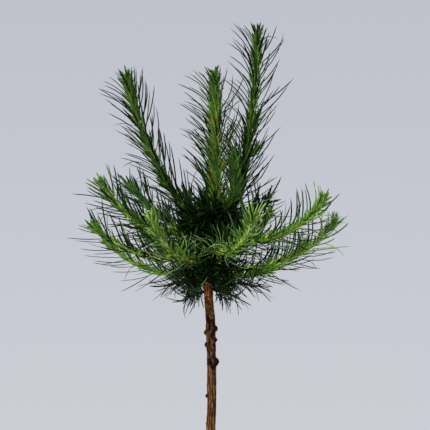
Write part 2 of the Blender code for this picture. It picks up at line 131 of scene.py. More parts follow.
# Limbs: height on the stem above the pot's underside in mm, heading, turn along the shoot,
# (straight run in mm, its rise) and (length of the upturned rest in mm, rise at its start, rise at its end)
LIMBS = {
    "tall_left": (626, 174, 0, (38, 56), (139, 52, 79)),
    "tall_middle": (636, 293, 1, (36, 52), (120, 81, 100)),
    "tall_right": (630, 15, 0, (47, 48), (167, 76, 89)),
    "short_upright": (643, 322, -1, (41, 34), (42, 71, 105)),
    "tall_back": (637, 80, 0, (36, 55), (98, 66, 86)),
    "left_upper": (610, 190, 0, (37, 36), (89, 4, 60)),
    "left_back": (617, 145, 0, (40, 28), (71, 28, 44)),
    "left_lower": (600, 204, -15, (31, 8), (91, 1, 40)),
    "front_left": (594, 235, -6, (33, 20), (71, 6, 62)),
    "front_right": (606, 297, -13, (28, 16), (98, -2, 42)),
    "right_upper": (614, 341, 8, (43, 13), (90, -2, 55)),
    "right_lower": (595, 353, 0, (44, 2), (95, 3, 52)),
    "right_back": (618, 39, 0, (43, 34), (45, 24, 26)),
    "back_upper": (609, 98, 8, (34, 20), (92, 6, 54)),
    "back_right": (602, 58, -8, (32, 8), (92, 4, 50)),
    "back_left": (602, 128, 6, (32, 6), (92, 2, 48)),
    "back_low_right": (588, 26, -6, (30, 0), (84, 0, 42)),
    "back_low_left": (590, 156, 6, (30, 0), (84, 0, 42)),
    "back_low": (582, 90, 0, (28, 2), (80, 0, 40)),
}
# Short hanging shoots under the crown: height in mm, heading, length in mm, rises
UNDERSHOOTS = {
    "under_left": (585, 200, 46, 0, -14),
    "under_front_left": (586, 238, 36, -14, -34),
    "under_front_right": (584, 306, 36, -18, -38),
    "under_right": (583, 346, 56, 1, -10),
    "under_back_right": (576, 42, 44, -6, -22),
    "under_back_left": (574, 128, 44, -6, -24),
}
LIMB_STEP = 3 * MM
BOUGH_SHARE = 0.5  # share of a limb's first, straight run that is bare bough
BEND_ROUNDS = 4  # how often the bend after the straight run is smoothed
BOUGH_RADII = (2.6 * MM, 1.7 * MM)
BOUGH_SIDES = 24
BOUGH_RING = 0.9 * MM
BOUGH_RELIEF = 0.35  # mm
BOUGH_SHIFT = 40  # mm by which each bough reads the bark's noise further along than the one before
COLLAR = 1.1 * MM  # how much thicker a bough is where it leaves the stem
COLLAR_REACH = 5 * MM
SHOOT_RADII = (1.7 * MM, 0.8 * MM)
SHOOT_SIDES = 10
SHOOT_RIDGES = (5, 0.12)  # how many, and how high as a share of the radius
TWIG_SIDES = 8
# Where each stretch of a shoot's own stem ends, as a share of its length, and its tone
SHOOT_TONES = {
    "upright": ((0.1, "twig_brown"), (0.5, "twig_olive"), (2, "twig_green")),
    "level": ((0.15, "twig_olive"), (2, "twig_lime")),
    "under": ((2, "twig_dark"),),
}

# Which limbs each piece of needles covers
NEEDLE_PIECES = {
    "needles_tall": ("tall_left", "tall_middle", "tall_right", "short_upright", "tall_back"),
    "needles_left": ("left_upper", "left_back", "left_lower"),
    "needles_front": ("front_left", "front_right"),
    "needles_right": ("right_upper", "right_lower", "right_back"),
    "needles_back": ("back_upper", "back_right", "back_left", "back_low_right", "back_low_left", "back_low"),
    "needles_under": tuple(UNDERSHOOTS),
}
# Which colours each limb's needles take; those of the others are bright
TONE_GROUPS = {
    "tall": ("tall_right", "tall_back"),
    "tall_dull": ("tall_left",),
    "tall_fresh": ("tall_middle",),
    "deep": ("short_upright",),
    # dark tones, as painted shade under the crown; right_back takes them too
    "low": (*UNDERSHOOTS, "right_back"),
    "blue": ("left_back", "back_low", "back_upper"),
    "pale": ("front_left", "front_right"),
    "left": ("left_upper", "left_lower"),
}


class Spray:
    """Needles of a kind: space between two, length and width in mm, and lean at root and point in degrees."""

    def __init__(self, spacing, length, width, lean):
        self.spacing = spacing * MM
        self.length = length * MM
        self.width = width * MM
        self.lean = lean


LONG_SPRAYS = {
    "upright": Spray(1.5, 52, 1.7, (21, 60)),
    "level": Spray(1.35, 41, 1.9, (30, 62)),
    "under": Spray(2.6, 26, 1.2, (20, 60)),
}
CLOSE_SPRAYS = {
    "upright": Spray(0.8, 19, 2.1, (11, 35)),
    "level": Spray(0.7, 13, 1.8, (10, 40)),
    "under": Spray(2.2, 16, 1.2, (20, 56)),
}
CLOSE_FRONT = Spray(1.2, 16, 1.3, (34, 66))
STUBS = Spray(0.75, 3.4, 1.2, (45, 80))  # the bright young needle bases
SIDE_LONG = Spray(1.2, 17, 1.5, (14, 44))
SIDE_CLOSE = Spray(0.6, 10, 2.2, (10, 34))
SIDE_UNDER = Spray(1.3, 19, 1.1, (18, 56))

# Times the usual space between young needle bases, on the shoots that have them
STUB_SPACING = {
    "front_left": 1.4, "front_right": 1.5, "left_upper": 2.0,
    "left_lower": 2.8, "right_upper": 1.7, "right_lower": 1.8,
}
STUB_START = 0.3  # share of a side limb's shoot that has no bright needle bases
STUB_STARTS = {"left_lower": 0.5, "right_lower": 0.35}  # the same on these shoots
# Times the usual space between long needles and between close ones
LONG_SPACING = {
    "tall_left": 0.88, "tall_middle": 0.93, "tall_right": 0.97,
    "left_upper": 0.85, "left_lower": 1.05, "left_back": 0.85, "front_left": 1.3, "front_right": 1.3,
    "right_upper": 0.95, "right_lower": 1.5, "right_back": 1.05,
    "back_low_right": 1.3, "back_low_left": 1.6, "back_low": 1.3,
}
CLOSE_SPACING = {
    "tall_middle": 0.8, "left_upper": 0.9, "left_lower": 1.5, "right_lower": 1.7, "right_upper": 0.85,
}
# How far up a shoot needles darkened as painted shade go, growing fewer, as a share of its length
SHADED_FEET = {
    "tall_left": 0.5, "tall_right": 0.45, "tall_middle": 0.16, "left_lower": 1.2,
    "left_upper": 0.3, "left_back": 0.4, "right_lower": 0.6, "right_upper": 0.3,
}
OPEN_SIDES = {"front_left": 0.52, "front_right": 0.5}  # share of the needles that are missing towards -Y
OPEN_SIDE = 0.25  # how far to -Y a needle points when it counts as one on the open side
SIDE_BAND = 0.4  # how far up or down a needle at a level shoot's side may point
SIDE_GAP = 0.55  # share of such needles that are missing, so that the young bark shows
UPPER_SHARE = 0.4  # how far up or down a needle of a level shoot points when it is an upper or a lower one
LOWER_GAPS = {"left_lower": 0.45}  # share of the lower ones that are missing
NEARLY_UPRIGHT = 0.85  # the rise of a shoot, as a sine, above which it has no upper and lower side

NEEDLE_THICKNESS = 0.62  # a needle's thickness as a share of its width
# Rings of a needle: how far along it and how broad, as shares
NEEDLE_RINGS = ((0.0, 0.8), (0.05, 0.55), (0.2, 0.85), (0.42, 1.0), (0.64, 0.98), (0.86, 0.75), (1.0, 0.0))
NEEDLE_STEPS = [step for step, _ in NEEDLE_RINGS]
# Middle and length of each stretch between two rings, and which tone it takes: root, blade or point
NEEDLE_STRETCHES = [((low + high) / 2, high - low) for low, high in zip(NEEDLE_STEPS, NEEDLE_STEPS[1:])]
NEEDLE_BANDS = (0, 0, 1, 1, 1, 2)
NEEDLE_SINK = 0.6  # how far from a shoot's middle a needle is rooted, as a share of the shoot's radius
FEWEST_NEEDLES = 4
PLACE_SPREAD = 0.5  # how far from its even place a needle is rooted, as a share of the space between two
TURN_SPREAD = 24  # degrees
LENGTH_SPREAD = (0.58, 1.1, 0.98)  # shortest, longest and usual share of a needle's full length
WIDTH_SPREAD = (0.8, 1.15)
LEAN_SPREAD = (7, 17)  # degrees, at a needle's root and at its point
PULL_SPREAD = (0.7, 1.3)
UPPER_WIDTH = 1.2  # how broad the needles on top of a level shoot are, as a share of those at its sides
LOWER_WIDTH = 0.55  # the same for those under it
LOWER_WIDTHS = {"left_upper": 0.9, "right_upper": 0.9}  # the same on these shoots
LOWER_LENGTH = 1.1  # how long those are
LIFT = 0.95  # how strongly the needles of a level shoot turn up
LOWER_SINK = 0.7  # share of their lift that those under it lose
LOWER_LEAN = (14, 22)  # degrees by which those lean more at the root and less at the point
SIDE_LEAN = 30  # the same on the +X side of an upright shoot
UPPER_SWAY = 0.3  # how strongly those on top of it turn to -X
SWAY = 0.45  # how strongly the needles of an upright shoot turn to -X
LIMB_SWAY = {"tall_right": 0.2, "tall_left": 0.35}  # the same on these shoots
UNDER_UPPER = 0.3  # how much longer the upper needles of the hanging shoots are
UNDER_DROP = 0.3  # how strongly the needles of the hanging shoots turn down
TIP_LEAN = (7, 27)
TIP_NEEDLE = 14 * MM
TIP_SHARE = 0.14  # share of the shoot whose needles are still short
TIP_SHARES = {"tall_left": 0.18, "tall_middle": 0.21, "tall_right": 0.15}  # the same on these shoots
STRAY_SHARE = 0.14  # share of the long needles that curl off on a way of their own
STRAY_SHARES = {
    "front_left": 0.16, "front_right": 0.12, "right_upper": 0.18, "right_lower": 0.22, "tall_right": 0.08,
}
UNDER_STRAYS = 0.4  # the same for the hanging shoots, where such needles hook down
STRAY_CURL = (35, 105)  # degrees that a stray needle curls over
STRAY_SWING = 22
STRAY_WIDTH = 0.55
STEM_GAP = 0.6 * MM  # what a needle keeps from the stem beyond its root
CLEAR_STEM = (440, 4.0)  # height above the soil under which needles part before the stem, and how far, in mm


class Tuft:
    """Broad young needles round a shoot's end: how many, over which depth, how long and how broad, in mm."""

    def __init__(self, count, depth, lengths, width):
        self.count = count
        self.depth = depth * MM
        self.lengths = [length * MM for length in lengths]
        self.width = width * MM


TUFT_LEANS = ((5, 27), (16, 56))  # degrees, at such needles' roots and points
SHORT_TUFT = Tuft(36, 13, (9, 18), 2.0)
LIMB_TUFTS = {
    "tall_left": Tuft(64, 27, (12, 21), 2.2),
    "tall_middle": Tuft(62, 25, (11, 20), 2.2),
    "tall_right": Tuft(60, 30, (10, 19), 2.1),
    "left_upper": Tuft(44, 17, (10, 20), 2.0),
    "front_left": Tuft(32, 22, (11, 21), 2.1),
    "front_right": Tuft(34, 24, (14, 27), 1.6),
    "left_back": Tuft(50, 20, (12, 24), 1.8),
    "right_back": Tuft(52, 18, (12, 22), 1.9),
}

# Short side twigs: (share along the shoot, heading, length in mm)
SIDE_TWIGS = {"tall_right": ((0.345, 350, 15), (0.53, 348, 7))}
# How many twigs any other shoot has, and the spans that their shares, headings and lengths are drawn from
LIMB_TWIGS = (2, (0.04, 0.4), (0, 360), (5, 10))
UNDER_TWIGS = (5, (0.1, 0.75), (0, 360), (9, 17))
TWIG_LEAN = 46
TWIG_STEPS = 6
LIMB_TWIG_RISE = 0.06  # how strongly a twig turns up at each step
UNDER_TWIG_RISE = 0.22
LIMB_TWIG_RADII = (1.1 * MM, 0.6 * MM)
UNDER_TWIG_RADII = (0.8 * MM, 0.5 * MM)

# Short spurs that fill the heart of the crown with rosettes
SPUR_HEIGHTS = (584, 656)
SPUR_STEP = 1.7
SPUR_TILTS = (-10, 35)
SPUR_LENGTH = 5 * MM
SPUR_RADII = (1.7 * MM, 1.2 * MM)
SPUR_SINK = 0.5  # how far from the stem's middle a spur is rooted, as a share of its radius
SPUR_FORWARD = 0.5  # how far a spur on a bough leans along it
SPUR_CAP = 0.5  # mm from its needles' roots to a spur's end
BOUGH_SPURS = (0.3, 0.6, 0.9)
ROSETTE_NEEDLES = 15
ROSETTE_LENGTH = 29 * MM
ROSETTE_WIDTH = 1.9 * MM
ROSETTE_LEAN = (18, 74)
ROSETTE_LEANS = (0.6, 1.25)
ROSETTE_LENGTHS = (0.65, 1.15)
ROSETTE_PULLS = (0.2, 1.2)
FOOT_TOP = 602  # height in mm under which the rosettes are greener, fewer and hang down
FOOT_STEP = 2.0
FOOT_DROP = 0.6
FOOT_HOOKS = 0.5  # share of their needles that hook down
FOOT_WIDTH = 1.3 * MM
FOOT_LENGTH = 0.8  # how long their needles are, as a share of the others'

# Bright whorls low on the front shoots: shares along the shoot, and headings that the long needles take
WHORLS = {
    "front_left": ((0.0, 250, 350), (0.1, 330, 400), (0.2, 320, 400), (0.3, 310, 380), (0.4, 220, 300)),
    "front_right": ((0.08, 160, 240), (0.2, 150, 220), (0.36, 150, 210)),
}
WHORL_PLACES = (-0.05, 0.07)  # how far from its place along the shoot a whorl's needles stand
WHORL_WIDTH = 1.3 * MM
WHORL_SWING = 34
WHORL_SWINGS = (0.4, 1)
WHORL_FORWARD = 0.25  # how far a needle leans along its shoot
WHORL_OPEN = (190, 350)  # headings of the short ones
WHORL_TILT = 25  # degrees by which a needle's curl is turned out of the plane that the camera faces
# Needles of a whorl: how many, their lengths in mm, and what they rise and curl by in degrees
WHORL_SHORT = (17, (5, 12), (-35, 70), (30, 90))
WHORL_LONG = (5, (22, 42), (0, 70), (12, 50))

# Soil and the chips on it
SOIL_RINGS = 60
SOIL_SEGMENTS = 150
SOIL_FALL = 3 * MM
SOIL_FOOT = ((71 * MM, 6 * MM), 68 * MM)  # where its side ends: radius and height, and the radius at its base
SOIL_BUMP = 1.3 * MM
SOIL_LUMP = 6 * MM
SOIL_CRUMB = 2.4 * MM
SOIL_CRUMB_LAYER = 5  # where in the noise the crumbs are read
SOIL_CRUMB_SHARE = 0.5
SOIL_CALM = 3  # the mound is smooth in the inner one of so many parts of its radius
CHIPS = 420
CHIP_LENGTHS = (3, 9)
CHIP_BREADTHS = (0.4, 0.75)  # as a share of the length
CHIP_DEPTHS = (0.18, 0.4)
CHIP_FREE = 0.03  # share of the soil, round the stem, that has none
CHIP_TILT = 0.5
CHIP_LIFT = 0.3  # how far its middle lies over the soil, as a share of its depth
CHIP_DIVISIONS = 2
CHIP_NOISE = (2.4, 90, 0.35)  # how fine its lumps are, how far apart two chips read them, and their height
CHIP_BLOCK = 0.36  # half of what is left of a ball of size 1 whose sides are pressed flat
CHIP_FILL = 1.35  # what brings that back to full size

# Pot
POT_SEGMENTS = 144
POT_WALL = 1.6 * MM
POT_SMOOTH = 34  # degrees between faces, above which an edge stays sharp
RIM_DEPTH = 9 * MM
RIM_STEP = 2.6 * MM
RIM_TOP_ROUND = 1.4 * MM
RIM_FOOT_ROUND = 0.8 * MM
BASE_BEND = 4 * MM
BASE_RADIUS = 72.5 * MM
WALL_STEPS = 60
RIBS = (0.62, 0.68, 0.74)  # how far up the wall each rib runs, as a share of its height
RIB_HEIGHT = 0.5 * MM
RIB_SHARPNESS = 60
DRAIN_HOLES = 6
DRAIN_RADIUS = 5 * MM
DRAIN_CIRCLE = 58 * MM
DRAIN_CUT = 10 * MM
DRAIN_SIDES = 32
MERGE = 0.01 * MM  # points closer than this are one point

# Camera: level, in front of the crown, with the whole picture this wide and high at the stem
CAMERA_PLACE = (0.007, -2.2, 0.650)
CAMERA_CLIP = (0.05, 40)
PICTURE_SPAN = 0.430
SENSOR = 36

# Stage: the lights are name, place, size and watts
LIGHTS = (
    ("key", (-1.3, -2.0, 2.6), 0.9, 120),
    ("fill", (2.2, -1.8, 1.0), 2.0, 18),
    ("back", (0.6, 2.4, 2.2), 1.6, 34),
)
LIGHT_TARGET = Vector((0, 0, 0.62))
WARM_WHITE = (1.0, 0.96, 0.87)
FLOOR_RADIUS = 4.2
FLOOR_SIDES = 128
FLOOR_DROP = 0.2 * MM
SKY_HIGH = (191, 194, 203)
SKY_LOW = (203, 206, 213)
SKY_HALF = 0.098  # sine of the elevation at the picture's edge


def tone_lines(text):
    """Root, blade and point tones of needles: each needle takes one of the lines, which commas part."""
    return tuple(tuple(line.split()) for line in text.split(","))


def tone_table(**texts):
    return {group: tone_lines(text) for group, text in texts.items()}


# Needle tones in display values; pale and grey are partly paler needle undersides and partly painted
# highlight
TONES = {
    "lime": (132, 168, 54),
    "yellow": (160, 182, 72),
    "olive": (104, 104, 34),
    "fresh": (92, 134, 42),
    "leaf": (66, 101, 24),
    "mid": (44, 75, 18),
    "deep": (20, 42, 8),
    "shade": (3, 15, 2),
    "blue": (40, 80, 33),
    "blue_dark": (20, 46, 21),
    "grey": (88, 104, 80),
    "pale": (128, 160, 118),
}
DULL_TONES = ("shade", "deep")
GLOSSES = (0.03, 0.22)  # of the dull tones and of the others
# Long and close needles of each group, and the rosettes at the crown's foot and heart, dark there as painted
# shade
LONG_TONES = tone_table(
    bright="fresh leaf mid, lime fresh leaf, lime fresh pale, fresh leaf deep",
    tall="leaf deep shade, leaf deep shade, mid deep deep, mid shade shade",
    tall_dull="leaf deep shade, leaf deep shade, mid deep deep, mid shade shade",
    tall_fresh="leaf deep deep, leaf mid deep, leaf mid deep, mid deep shade",
    low="mid mid deep, deep shade shade, mid deep grey, mid deep deep",
    blue="blue blue_dark deep, blue blue grey, leaf blue_dark shade, blue blue deep",
    deep="mid mid deep, mid deep deep, mid deep shade, leaf deep shade",
    left="leaf mid deep, fresh leaf grey, leaf deep shade, mid deep deep",
    pale="fresh leaf leaf, leaf mid deep, fresh leaf mid, leaf leaf deep",
    foot="mid mid deep, deep shade shade, mid deep grey, deep deep shade",
    heart="shade shade shade, deep deep shade, mid deep shade, shade shade deep",
)
CLOSE_TONES = tone_table(
    bright="lime fresh fresh, yellow lime fresh, lime fresh leaf, fresh leaf leaf",
    tall="olive leaf mid, leaf mid mid, olive leaf mid, leaf leaf mid",
    tall_dull="olive leaf mid, leaf mid deep, olive mid mid, mid mid deep",
    tall_fresh="olive fresh leaf, fresh leaf leaf, olive olive leaf, olive leaf leaf",
    low="deep deep shade, deep shade shade, mid deep deep",
    blue="leaf blue blue_dark, fresh blue blue, mid blue_dark deep",
    deep="leaf mid deep, mid mid deep, leaf leaf mid",
    left="yellow lime leaf, leaf leaf mid, lime fresh leaf, fresh leaf mid",
    pale="lime fresh leaf, lime fresh pale, lime fresh fresh, fresh leaf mid",
)
# Long needles above and below a level shoot, darker than those at its sides as painted shade
SHADED_UPPER_TONES = tone_lines("leaf deep shade, mid deep shade, deep shade shade, leaf mid deep")
SHADED_LOWER_TONES = tone_table(
    bright="leaf mid deep, mid deep deep, mid grey deep, mid deep shade",
    left="leaf deep shade, mid shade shade, mid deep grey",
    low="mid deep shade, deep shade shade, deep shade deep",
)
# Tuft at a shoot's end; those of the other groups are green
TUFT_TONES = tone_table(
    bright="lime fresh pale, fresh leaf leaf, fresh leaf mid, lime fresh leaf",
    pale="lime lime pale, lime fresh pale, fresh lime pale, fresh leaf leaf",
    left="fresh fresh pale, leaf leaf mid, fresh leaf mid, lime fresh leaf",
    green="fresh leaf mid, leaf leaf mid, leaf mid deep, leaf mid mid",
    low="leaf mid deep, mid deep deep, mid deep shade",
    blue="fresh leaf grey, fresh blue blue, leaf blue blue",
)
# Needles in painted shade at a shoot's foot, those that curl off in front, young needle bases, and long whorl
# needles
SHADED_FOOT_TONES = tone_lines("mid deep deep, deep shade shade, deep deep shade, olive deep shade")
STRAY_TONES = tone_lines("fresh pale pale, leaf pale grey, fresh leaf pale, mid grey grey, leaf mid deep")
STUB_TONES = tone_lines("yellow yellow lime, yellow lime lime, lime yellow yellow")
WHORL_TONES = tone_lines("fresh leaf pale, fresh leaf grey, leaf leaf grey, fresh pale grey, leaf mid deep")

# Display values of twig bark and its flecks, of bark in the cracks, between and on the ridges, and of chips
TWIG_COLOURS = {
    "twig_brown": ((58, 42, 22), (34, 24, 12)),
    # the hanging shoots' stems and twigs, dark as painted shade under the crown
    "twig_dark": ((24, 38, 15), (12, 20, 8)),
    "twig_olive": ((90, 98, 34), (62, 60, 24)),
    "twig_green": ((86, 112, 38), (56, 76, 28)),
    "twig_lime": ((150, 174, 72), (122, 144, 56)),
}
BARK_COLOURS = {
    "stock": ((26, 11, 4), (77, 47, 24), (172, 128, 84)),
    "dark_stock": ((11, 5, 2), (52, 30, 16), (118, 80, 50)),
    "graft": ((8, 4, 3), (26, 12, 8), (66, 38, 26)),
    "collar": ((24, 14, 5), (78, 52, 22), (140, 104, 54)),
    "scion": ((16, 5, 2), (122, 66, 32), (232, 152, 96)),
    # the crown's dark browns are painted shade
    "crown": ((14, 10, 7), (34, 24, 15), (62, 46, 27)),
}
KNOT_COLOURS = ((20, 13, 12), (44, 27, 23), (92, 62, 48))
SOIL_COLOURS = ((24, 18, 14), (58, 42, 31), (104, 80, 58))
CHIP_COLOURS = {"chip_brown": (92, 62, 42), "chip_red": (112, 66, 42), "chip_dark": (58, 42, 33)}
PLASTIC_COLOURS = ((27, 28, 30), (46, 47, 50))
DUST_COLOUR = (98, 92, 84)
FLOOR_COLOURS = ((206, 208, 213), (212, 214, 219))

# Plainer surfaces: noise of the tint (how fine, how detailed, how rough) and places of its colours; noise of
# the grain, where the bumps don't follow the tint; bump (strength, height in metres); roughness; stretch
SURFACES = {
    "needle": ((180, 2), (0.3, 0.7), (2600, 2), (0.2, 0.0002), 0.46, None),
    "twig": ((260, 5), (0.34, 0.52, 0.75), (1500, 3), (0.4, 0.0003), 0.6, None),
    "knot": ((900, 5, 0.7), (0.35, 0.55, 0.75), None, (0.8, 0.0005), 0.9, None),
    "soil": ((380, 8, 0.75), (0.32, 0.52, 0.72), None, (0.9, 0.0015), 0.95, None),
    "chip": ((700, 5, 0.65), (0.33, 0.6, 0.8), None, (0.7, 0.0008), 0.88, (1, 0.3, 1)),
    "floor": ((3, 3), (0.3, 0.7), None, None, 0.8, None),
}
# Times a colour, where it is darkest and where it is palest
NEEDLE_SHADES = (0.72, 1.3)
TWIG_SHADE = 1.35
CHIP_SHADES = (0.45, 1, 1.5)
# Bark, in the same terms
BARK_STRETCH = (1, 1, 0.3)
BARK_PLACES = (0.12, 0.5, 0.92)
BARK_PATCHES = (420, 6, 0.7)
PATCH_PLACES = (0.36, 0.55, 0.74)
PATCH_SHARE = 0.35
BARK_STAINS = (170, 3)
STAIN_PLACES = (0.34, 0.46)
STAIN_SHADE = 1.5
BARK_GRAIN = (1600, 4, 0.7)
BARK_BUMP = (0.7, 0.0006)
BARK_ROUGHNESS = 0.85
BARK_GLOSS = 0.05
# Plastic, in the same terms; its roughness wears with the dust
STREAK_STRETCH = (1, 1, 0.12)
PLASTIC_STREAKS = (60, 6, 0.7)
STREAK_PLACES = (0.35, 0.7)
PLASTIC_DUST = (34, 8, 0.72)
DUST_PLACES = (0.52, 0.78)
DUST_SHARES = (0, 0.55)
PLASTIC_GRAIN = (900, 3)
PLASTIC_BUMP = (0.18, 0.0003)
PLASTIC_ROUGHNESS = 0.5
WEAR_PLACES = (0.35, 0.75)
WEAR_ROUGHNESS = (0.36, 0.62)


# Materials


def linear(red, green, blue):
    """A colour given in 0 to 255 display values, as the shader takes it."""
    return tuple(((value / 255 + 0.055) / 1.055) ** 2.4 for value in (red, green, blue))


def shaded(colour, factor):
    return tuple(min(1, value * factor) for value in colour)


def linears(colours):
    return [linear(*colour) for colour in colours]


def greys(values):
    return [(value, value, value) for value in values]


class Look:
    """The nodes of a material or of the world."""

    def __init__(self, owner, shader="Principled BSDF"):
        owner.use_nodes = True
        self.owner = owner
        self.nodes = owner.node_tree.nodes
        self.links = owner.node_tree.links
        self.shader = self.nodes[shader]
        self.coordinates = self.nodes.new("ShaderNodeTexCoord").outputs
        self.place = self.coordinates["Object"]  # the part's own metres

    def node(self, kind, source, socket, **values):
        """A node that a source feeds, with other inputs set, whose names take _ for a space."""
        made = self.nodes.new("ShaderNode" + kind)
        for name, value in values.items():
            made.inputs[name.replace("_", " ")].default_value = value
        self.links.new(source, made.inputs[socket])
        return made

    def stretched(self, scale):
        return self.node("Mapping", self.place, "Vector", Scale=scale).outputs["Vector"]

    def noise(self, source, scale, detail, roughness=0.6):
        made = self.node("TexNoise", source, "Vector", Scale=scale, Detail=detail, Roughness=roughness)
        return made.outputs["Fac"]

    def ramp(self, source, places, colours):
        """A colour ramp with these colours at these places."""
        made = self.node("ValToRGB", source, "Fac")
        elements = made.color_ramp.elements
        while len(elements) < len(places):
            elements.new(0.5)
        for element, place, colour in zip(elements, places, colours):
            element.position = place
            element.color = (*colour, 1)
        return made.outputs["Color"]

    def mix(self, share, first, second):
        made = self.nodes.new("ShaderNodeMix")
        made.data_type = "RGBA"
        for value, socket in ((share, made.inputs[0]), (first, made.inputs[6]), (second, made.inputs[7])):
            if isinstance(value, bpy.types.NodeSocket):
                self.links.new(value, socket)
            else:
                socket.default_value = value
        return made.outputs[2]

    def finish(self, colour, roughness, source=None, bump=None, gloss=None):
        """The finished material, with its colour, constants and bumps."""
        self.links.new(colour, self.shader.inputs["Base Color"])
        self.shader.inputs["Roughness"].default_value = roughness
        if gloss is not None:
            self.shader.inputs["Specular IOR Level"].default_value = gloss
        if bump:
            made = self.node("Bump", source, "Height", Strength=bump[0], Distance=bump[1])
            self.links.new(made.outputs["Normal"], self.shader.inputs["Normal"])
        return self.owner


def speckled(name, kind, colours, gloss=None):
    """A material of a kind of surface, whose tint runs through these colours."""
    tint, places, grain, bump, roughness, stretch = SURFACES[kind]
    look = Look(bpy.data.materials.new(name))
    place = look.stretched(stretch) if stretch else look.place
    patches = look.noise(place, *tint)
    height = look.noise(place, *grain) if grain else patches
    return look.finish(look.ramp(patches, places, colours), roughness, height, bump, gloss)


def needle_material(tone):
    """Waxy needle whose tone drifts a little along each spray."""
    colours = [shaded(linear(*TONES[tone]), shade) for shade in NEEDLE_SHADES]
    return speckled("needle_" + tone, "needle", colours, GLOSSES[tone not in DULL_TONES])


def twig_material(name):
    """Young twig bark with darker flecks."""
    colour, dark = linears(TWIG_COLOURS[name])
    return speckled(name, "twig", (dark, colour, shaded(colour, TWIG_SHADE)))


def chip_material(name):
    return speckled(name, "chip", [shaded(linear(*CHIP_COLOURS[name]), shade) for shade in CHIP_SHADES])


def bark_material(zone):
    """Bark coloured by its own relief: dark in the cracks and pale on the ridges."""
    look = Look(bpy.data.materials.new(zone + "_bark"))
    colours = linears(BARK_COLOURS[zone])
    relief = look.nodes.new("ShaderNodeAttribute")
    relief.attribute_name = "relief"
    place = look.stretched(BARK_STRETCH)
    by_relief = look.ramp(relief.outputs["Fac"], BARK_PLACES, colours)
    by_patch = look.ramp(look.noise(place, *BARK_PATCHES), PATCH_PLACES, colours)
    bare = look.mix(PATCH_SHARE, by_relief, by_patch)
    stained = look.ramp(look.noise(place, *BARK_STAINS), STAIN_PLACES, greys((1, 0)))
    coloured = look.mix(stained, bare, (*shaded(colours[0], STAIN_SHADE), 1))
    return look.finish(coloured, BARK_ROUGHNESS, look.noise(place, *BARK_GRAIN), BARK_BUMP, BARK_GLOSS)


def pot_material():
    """Black moulded plastic with faint moulding streaks and dry dust."""
    look = Look(bpy.data.materials.new("moulded_black_plastic"))
    streaks = look.noise(look.stretched(STREAK_STRETCH), *PLASTIC_STREAKS)
    dust = look.noise(look.place, *PLASTIC_DUST)
    black = look.ramp(streaks, STREAK_PLACES, linears(PLASTIC_COLOURS))
    dusty = look.ramp(dust, DUST_PLACES, greys(DUST_SHARES))
    coloured = look.mix(dusty, black, (*linear(*DUST_COLOUR), 1))
    grain = look.noise(look.place, *PLASTIC_GRAIN)
    made = look.finish(coloured, PLASTIC_ROUGHNESS, grain, PLASTIC_BUMP)
    wear = look.ramp(dust, WEAR_PLACES, greys(WEAR_ROUGHNESS))
    look.links.new(wear, look.shader.inputs["Roughness"])
    return made


# Lines that the limbs and needles follow


def stem_at(above):
    """Centre and radius of the stem at a height above the soil in mm, eased between its named places."""
    above = min(max(above, 0), STEM_COURSE[-1][0])
    for low, high in zip(STEM_COURSE, STEM_COURSE[1:]):
        if above <= high[0]:
            share = (above - low[0]) / (high[0] - low[0])
            break
    eased = share * share * (3 - 2 * share)
    drift_x, drift_y, radius = (a + (b - a) * eased for a, b in zip(low[1:], high[1:]))
    return Vector((drift_x * MM, drift_y * MM, soil_top + above * MM)), radius * MM


def stem_height(height):
    """Centre and radius of the stem at a height above the pot's underside in mm."""
    return stem_at(height - soil_top / MM)


def heading_vector(heading, rise):
    level = cos(radians(rise))
    return Vector((level * cos(radians(heading)), level * sin(radians(heading)), sin(radians(rise))))


def sweep(start, heading, turn, rise_start, rise_end, length):
    """Points along a limb whose heading and rise change evenly from end to end."""
    steps = max(2, round(length / LIMB_STEP))
    points = [Vector(start)]
    for step in range(steps):
        share = (step + 0.5) / steps
        rise = rise_start + (rise_end - rise_start) * share
        points.append(points[-1] + heading_vector(heading + turn * share, rise) * (length / steps))
    return points


def plan_limbs():
    """The line of every bough and every shoot, by limb name."""
    boughs, shoots = {}, {}
    for name, (height, heading, turn, (reach, rise), (length, rise_start, rise_end)) in LIMBS.items():
        root, _ = stem_height(height)
        run = heading_vector(heading, rise) * reach * MM
        steps = ceil(run.length * BOUGH_SHARE / LIMB_STEP)
        boughs[name] = [root + run * BOUGH_SHARE * step / steps for step in range(steps + 1)]
        middle = [root + run * (BOUGH_SHARE + (1 - BOUGH_SHARE) * step / steps) for step in range(steps)]
        rest = sweep(root + run, heading, turn, rise_start, rise_end, length * MM)
        shoots[name] = rounded([*middle, *rest])
    for name, (height, heading, length, rise_start, rise_end) in UNDERSHOOTS.items():
        root, _ = stem_height(height)
        shoots[name] = sweep(root, heading, 0, rise_start, rise_end, length * MM)
    return boughs, shoots


def rounded(points):
    """Eases the bend where a limb leaves its straight run, by averaging neighbours a few times."""
    for _ in range(BEND_ROUNDS):
        inner = [(a + b * 2 + c) / 4 for a, b, c in zip(points, points[1:], points[2:])]
        points = [points[0], *inner, points[-1]]
    return points


def along(points, distance):
    """Place and direction at a distance along a line of points."""
    left = distance
    for low, high in zip(points, points[1:]):
        step = (high - low).length
        if left <= step:
            break
        left -= step
    return low + (high - low) * min(left / step, 1), (high - low).normalized()


def line_length(points):
    return sum((high - low).length for low, high in zip(points, points[1:]))


def side_of(direction, turn):
    """A direction square to a shoot, turned about it."""
    across = direction.cross(UP)
    if across.length < 0.05:
        across = direction.cross(Vector((1, 0, 0)))
    across.normalize()
    return Matrix.Rotation(radians(turn), 3, direction) @ across


def leaning(direction, outward, lean):
    """A direction that leans outward by so many degrees."""
    return direction * cos(radians(lean)) + outward * sin(radians(lean))


def curled_line(root, aim, axis, curl, swing, length):
    """Points along a needle that curls over and swings to and fro about an axis, in degrees."""
    points = [root]
    for share, stretch in NEEDLE_STRETCHES:
        turn = Matrix.Rotation(radians(curl * share + swing * sin(2 * pi * share)), 3, axis)
        points.append(points[-1] + turn @ aim * length * stretch)
    return points


